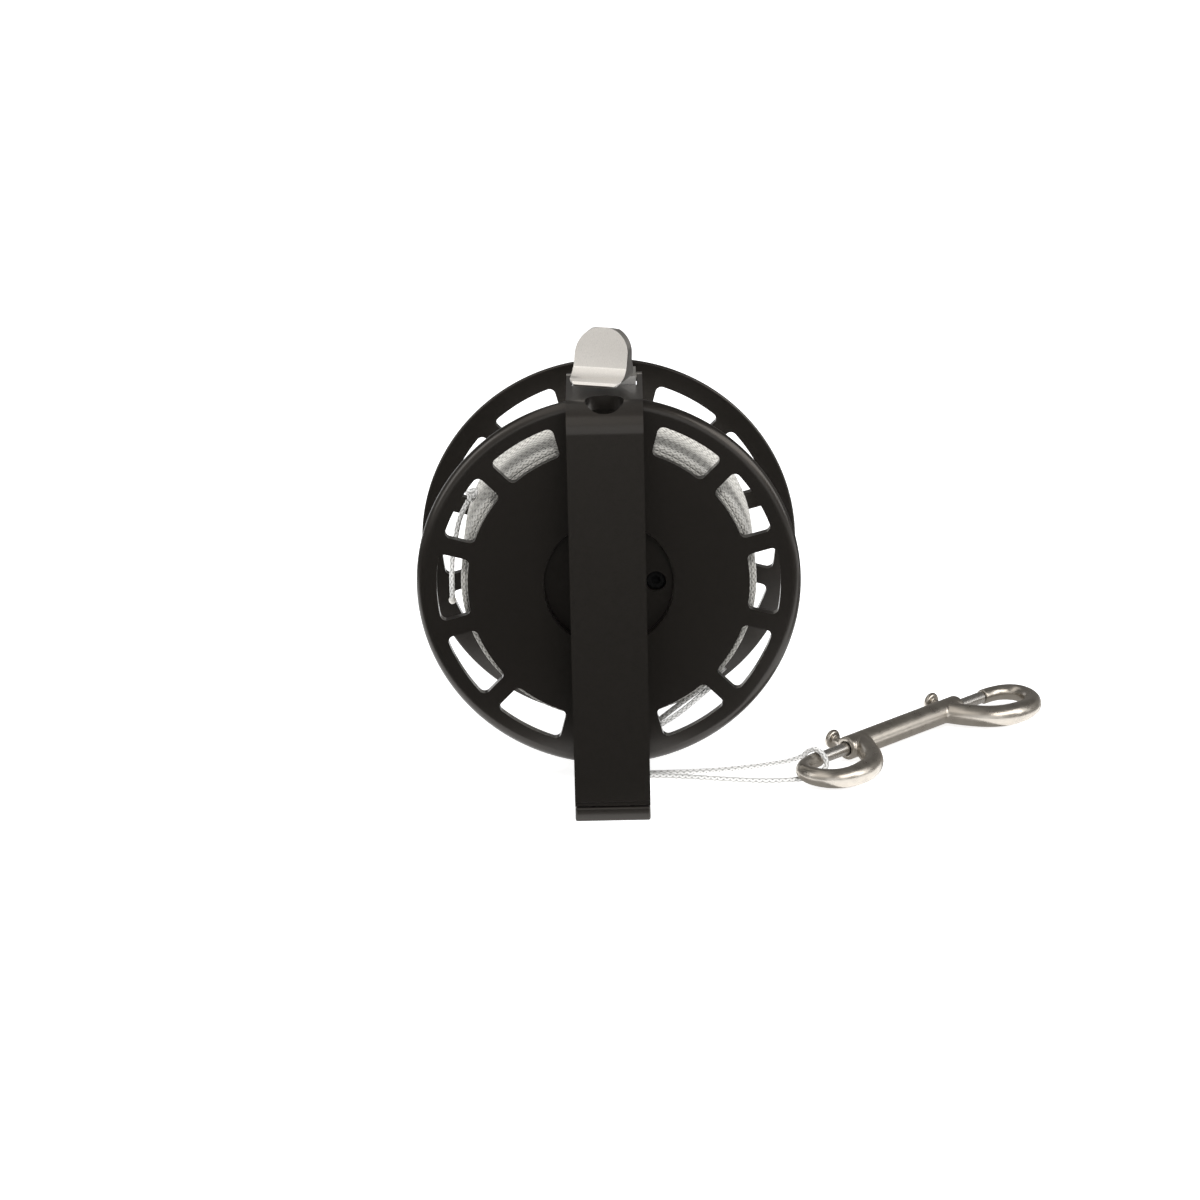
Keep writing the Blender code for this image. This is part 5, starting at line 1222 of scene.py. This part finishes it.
# The thumb lever: a solid pad of brushed steel with a scooped toe and a round top, turned off the strap's
# axis, on a base that turns on the pin. A rubber shoe sits in its rear end, and a spring lifts it from
# a pocket.
LEVER_WIDTH = 0.0226
BASE_FRONT = -0.0152
BASE_BOTTOM = 0.001
BASE_TOP = 0.0044
TONGUE_FRONT = -0.0064
TONGUE_BOTTOM = -0.0026
HEEL_RADIUS = 0.0032
HEEL_Y = -0.0018
PAD_WIDTH = 0.0197
PAD_LENGTH = 0.0175
PAD_HEIGHT = 0.0191
PAD_REAR = 0.0102
PAD_BOTTOM = 0.0037
PAD_YAW = -18
PAD_SHIFT = 0.0008
PAD_EDGE = 0.0007
PAD_TOP_RADIUS = 0.0092
PAD_LOW_RADIUS = 0.0036
PAD_PLAN_RADIUS = 0.0030
PAD_BEVEL = 0.0006
LEVER_EDGE = 0.0003
PAD_TOE_SHARES = ((0.602, 0.300), (0.6337, 0.2653), (0.6686, 0.2334), (0.7065, 0.2043), (0.7474, 0.179),
                  (0.791, 0.1578), (0.8368, 0.1409), (0.8842, 0.1284))
PAD_SHARES = (((0, 0), (0.975, 0), (1, 0.04), (0.968, 0.092)) + PAD_TOE_SHARES[::-1]
              + ((0.326, 1), (0.16, 0.94), (0.229, 0.40), (0.143, 0.148), (0, 0.05)))
SHOE_LOW = Vector((-0.006, SPOOL_FRONT_Y + 0.0009, 0.14815))
SHOE_HIGH = Vector((0.006, SPOOL_FRONT_Y + 0.0033, 0.15235))
SPRING_BORE = 0.0024
SPRING_BORE_DEPTH = 0.0047
SPRING_PLACE = Vector((0, SPOOL_FRONT_Y - 0.0052, ARM_TOP - POCKET_DEPTH + GAP))

LEVER_STEEL = steel("lever_steel", (0.73, 0.715, 0.69), 0.28, 1500, (5, 1, 1), (0.08, 0.00005))
RUBBER_LOOK = grained_look("brake_rubber", (0.02, 0.02, 0.02), 0.85, 1400,
                           ((0.014, 0.014, 0.014), (0.03, 0.03, 0.03)), (0.75, 0.95), (0.3, 0.0002))
base_side = [(BASE_FRONT, BASE_TOP), (BASE_FRONT, BASE_BOTTOM), (TONGUE_FRONT, BASE_BOTTOM),
             (TONGUE_FRONT, TONGUE_BOTTOM), (HEEL_Y, TONGUE_BOTTOM)]
base_side += arc((0, 0), HEEL_RADIUS, -100, 90, 24) + [(HEEL_Y, BASE_TOP)]
base = moved(plate(base_side, LEVER_WIDTH), STAND_YZ)

# The pad's side, cut to its front view and to its plan
half, pad_top, pad_front = PAD_WIDTH / 2, PAD_BOTTOM + PAD_HEIGHT, -PAD_REAR - PAD_LENGTH
pad_side = [(-PAD_REAR - PAD_LENGTH * ahead, PAD_BOTTOM + PAD_HEIGHT * up) for ahead, up in PAD_SHARES]
pad = moved(plate(rounded(pad_side, PAD_EDGE, 5), PAD_WIDTH + 2 * CUT_OVERRUN), STAND_YZ)
face = []
for radius, middle_z, side, start, steps in ((PAD_TOP_RADIUS, pad_top - PAD_TOP_RADIUS, 1, 0, 20),
                                             (PAD_TOP_RADIUS, pad_top - PAD_TOP_RADIUS, -1, 90, 20),
                                             (PAD_LOW_RADIUS, PAD_BOTTOM + PAD_LOW_RADIUS, -1, 180, 12),
                                             (PAD_LOW_RADIUS, PAD_BOTTOM + PAD_LOW_RADIUS, 1, 270, 12)):
    face += arc((side * (half - radius), middle_z), radius, start, start + 90, steps)
plan = arc((half - PAD_PLAN_RADIUS, pad_front + PAD_PLAN_RADIUS), PAD_PLAN_RADIUS, 270, 360, 12)
plan += [(half, PAD_REAR), (-half, PAD_REAR)]
plan += arc((PAD_PLAN_RADIUS - half, pad_front + PAD_PLAN_RADIUS), PAD_PLAN_RADIUS, 180, 270, 12)
front_view = moved(plate(face, 6 * OVERRUN), Matrix.Rotation(math.radians(90), 4, "X"))
pad = shaped(pad, [("INTERSECT", front_view), ("INTERSECT", plate(plan, 4 * OVERRUN))], edge=PAD_BEVEL,
             segments=3)
pad_middle = Vector((0, -PAD_REAR - PAD_LENGTH / 2, 0))
moved(pad, Matrix.Translation(pad_middle - Vector((PAD_SHIFT, 0, 0)))
      @ Matrix.Rotation(math.radians(PAD_YAW), 4, "Z") @ Matrix.Translation(-pad_middle))

side_reach = Vector((OVERRUN, 0, 0))
room = Vector((GAP, GAP, GAP))
spring_place = SPRING_PLACE - PIVOT
lever_steps = [("UNION", pad)] + cuts(
    rod(PIN_RADIUS + GAP, -side_reach, side_reach, 32),
    block(SHOE_LOW - PIVOT - room, SHOE_HIGH - PIVOT + room),
    rod(SPRING_BORE, spring_place, spring_place + Vector((0, 0, SPRING_BORE_DEPTH)), 32))
lever_mesh = moved(shaped(base, lever_steps, edge=LEVER_EDGE, angle=50), Matrix.Translation(PIVOT))
add_piece("lever", lever_mesh, LEVER_STEEL, "thumb_lever", "thumb_lever")
shoe_mesh = shaped(block(SHOE_LOW, SHOE_HIGH), [], edge=LEVER_EDGE)
add_piece("shoe", shoe_mesh, RUBBER_LOOK, "thumb_lever", "brake_shoe")


# The double-ended snap, of cast stainless steel: a barrel with two hooks, joined and remeshed so that the
# hooks flow out of the barrel. A turned bolt slides in each end, and its stud stands out of the slot.
SNAP_PLACE = (Matrix.Translation((0.1090, 0.0156, 0.00556)) @ Matrix.Rotation(math.radians(45), 4, "Z")
              @ Matrix.Rotation(math.radians(3.4), 4, "X"))
BARREL_RADIUS = 0.0045
HALF_BARREL = 0.0315
BORE_RADIUS = 0.0027
HOOK_ROOT = 0.0240
HOOK_LENGTH = 0.0360
HOOK_BULGE = 0.0196
HOOK_WIRE = 0.0041
HOOK_TIP = 0.0463
HOOK_SHARES = ((0, 0.05), (0.11, 0.43), (0.25, 0.755), (0.42, 0.94), (0.6, 1), (0.78, 0.97), (0.92, 0.815),
               (1, 0.56), (0.995, 0.295), (0.9, 0.105), (0.765, 0.02), (0.64, 0))
HOOK_THINNING_SHARE = 0.3
HOOK_STEP = 0.0008
BARREL_EDGE = 0.0008
BORE_START = 0.006
GATE_START = 0.018
GATE_RADIUS = 0.0023
GATE_EDGE = 0.0004
GATE_TRAVEL = 0.010
STUD_PLACE = 0.0280
STUD_SHANK = 0.0014
STUD_HEAD = 0.0038
STUD_HEAD_SHARE = 0.8
STUD_HEAD_HEIGHT = 0.0024
STUD_REACH = 0.0110
STUD_EDGE = 0.0008
SLOT_HALF_WIDTH = 0.0020
CAST_VOXEL = 0.0003
CAST_SMOOTHING = 6


def hook_radius(share):
    """The hook's wire thins over the middle of its run, from the barrel to the tip."""
    return HOOK_WIRE * (1 - HOOK_THINNING_SHARE * min(1, 2 * max(0, share - 0.4)))


SNAP_STEEL = steel("cast_steel", (0.50, 0.465, 0.415), 0.27, 260, (1, 1, 1), (0.10, 0.0003))
barrel_rod = rounded([(0, -HALF_BARREL), (BARREL_RADIUS, -HALF_BARREL), (BARREL_RADIUS, HALF_BARREL),
                      (0, HALF_BARREL)], BARREL_EDGE, 5, closed=False)
snap_mesh = moved(lathe(barrel_rod, 96), Matrix.Rotation(math.radians(90), 4, "Y"))
snap_hooks, snap_cuts = [], []
for end in (-1, 1):
    route = [(end * (HOOK_ROOT + HOOK_LENGTH * ahead), -HOOK_BULGE * out, 0) for ahead, out in HOOK_SHARES]
    hook_route = smooth_curve(route, HOOK_STEP) + [Vector((end * HOOK_TIP, 0, 0))]
    snap_hooks.append(("UNION", tube_mesh(hook_route, hook_radius, 32, 1)))
    slot_ends = sorted((end * (STUD_PLACE + SLOT_HALF_WIDTH),
                        end * (STUD_PLACE - GATE_TRAVEL - SLOT_HALF_WIDTH)))
    snap_cuts += cuts(rod(BORE_RADIUS, (end * BORE_START, 0, 0), (end * (HALF_BARREL + CUT_OVERRUN), 0, 0)),
                      block((slot_ends[0], 0, -SLOT_HALF_WIDTH),
                            (slot_ends[1], BARREL_RADIUS + CUT_OVERRUN, SLOT_HALF_WIDTH)))
joined = helper_object(shaped(snap_mesh, snap_hooks + snap_cuts))
remesh = joined.modifiers.new("cast", "REMESH")
remesh.mode = "VOXEL"
remesh.voxel_size = CAST_VOXEL
calm = joined.modifiers.new("calm", "SMOOTH")
calm.factor = 0.5
calm.iterations = CAST_SMOOTHING
add_piece("snap", moved(baked(joined), SNAP_PLACE), SNAP_STEEL, "frame", "snap_body", sharp=math.radians(60))

bolt = rounded([(0, GATE_START), (GATE_RADIUS, GATE_START), (GATE_RADIUS, HOOK_TIP - GAP),
                (0, HOOK_TIP - GAP)], GATE_EDGE, 4, closed=False)
stud_root, stud_neck = GATE_RADIUS + GAP, STUD_REACH - STUD_HEAD_HEIGHT
stud = rounded([(0, stud_root), (STUD_SHANK, stud_root), (STUD_SHANK, stud_neck),
                (STUD_HEAD * STUD_HEAD_SHARE, stud_neck), (STUD_HEAD, STUD_REACH - STUD_HEAD_HEIGHT / 2),
                (STUD_HEAD * STUD_HEAD_SHARE, STUD_REACH), (0, STUD_REACH)], STUD_EDGE, 5, closed=False)
for end, side in ((-1, "left"), (1, "right")):
    gate = f"snap_gate_{side}"
    bolt_place = SNAP_PLACE @ Matrix.Rotation(math.radians(90 * end), 4, "Y")
    stud_place = (SNAP_PLACE @ Matrix.Translation((end * STUD_PLACE, 0, 0))
                  @ Matrix.Rotation(math.radians(-90), 4, "X"))
    turned_piece(f"bolt_{side}", bolt, TURNED_STEEL, gate, gate, bolt_place, 48)
    turned_piece(f"stud_{side}", stud, SNAP_STEEL, gate, f"snap_stud_{side}", stud_place, 64)


# The three springs keep the steel coils of the imported model. The spool's core stays as it is, in the
# flanges' finish.
SPRINGS = (("lever_spring", "lever_press", (0, 0, -1), 0.0008),
           ("snap_spring_left", "gate_slide_left", (0.70710678, 0.70710678, 0), GATE_TRAVEL),
           ("snap_spring_right", "gate_slide_right", (-0.70710678, -0.70710678, 0), GATE_TRAVEL))

for node_name, joint, way, travel in SPRINGS:
    source = bpy.data.objects[node_name]
    coil = source.data.copy()
    coil.transform(source.matrix_world)
    piece = add_piece(node_name + "_coil", coil, TURNED_STEEL, "frame", node_name)
    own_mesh(piece)
bpy.data.objects["spool_core"].material_slots[0].material = FLANGE_LOOK
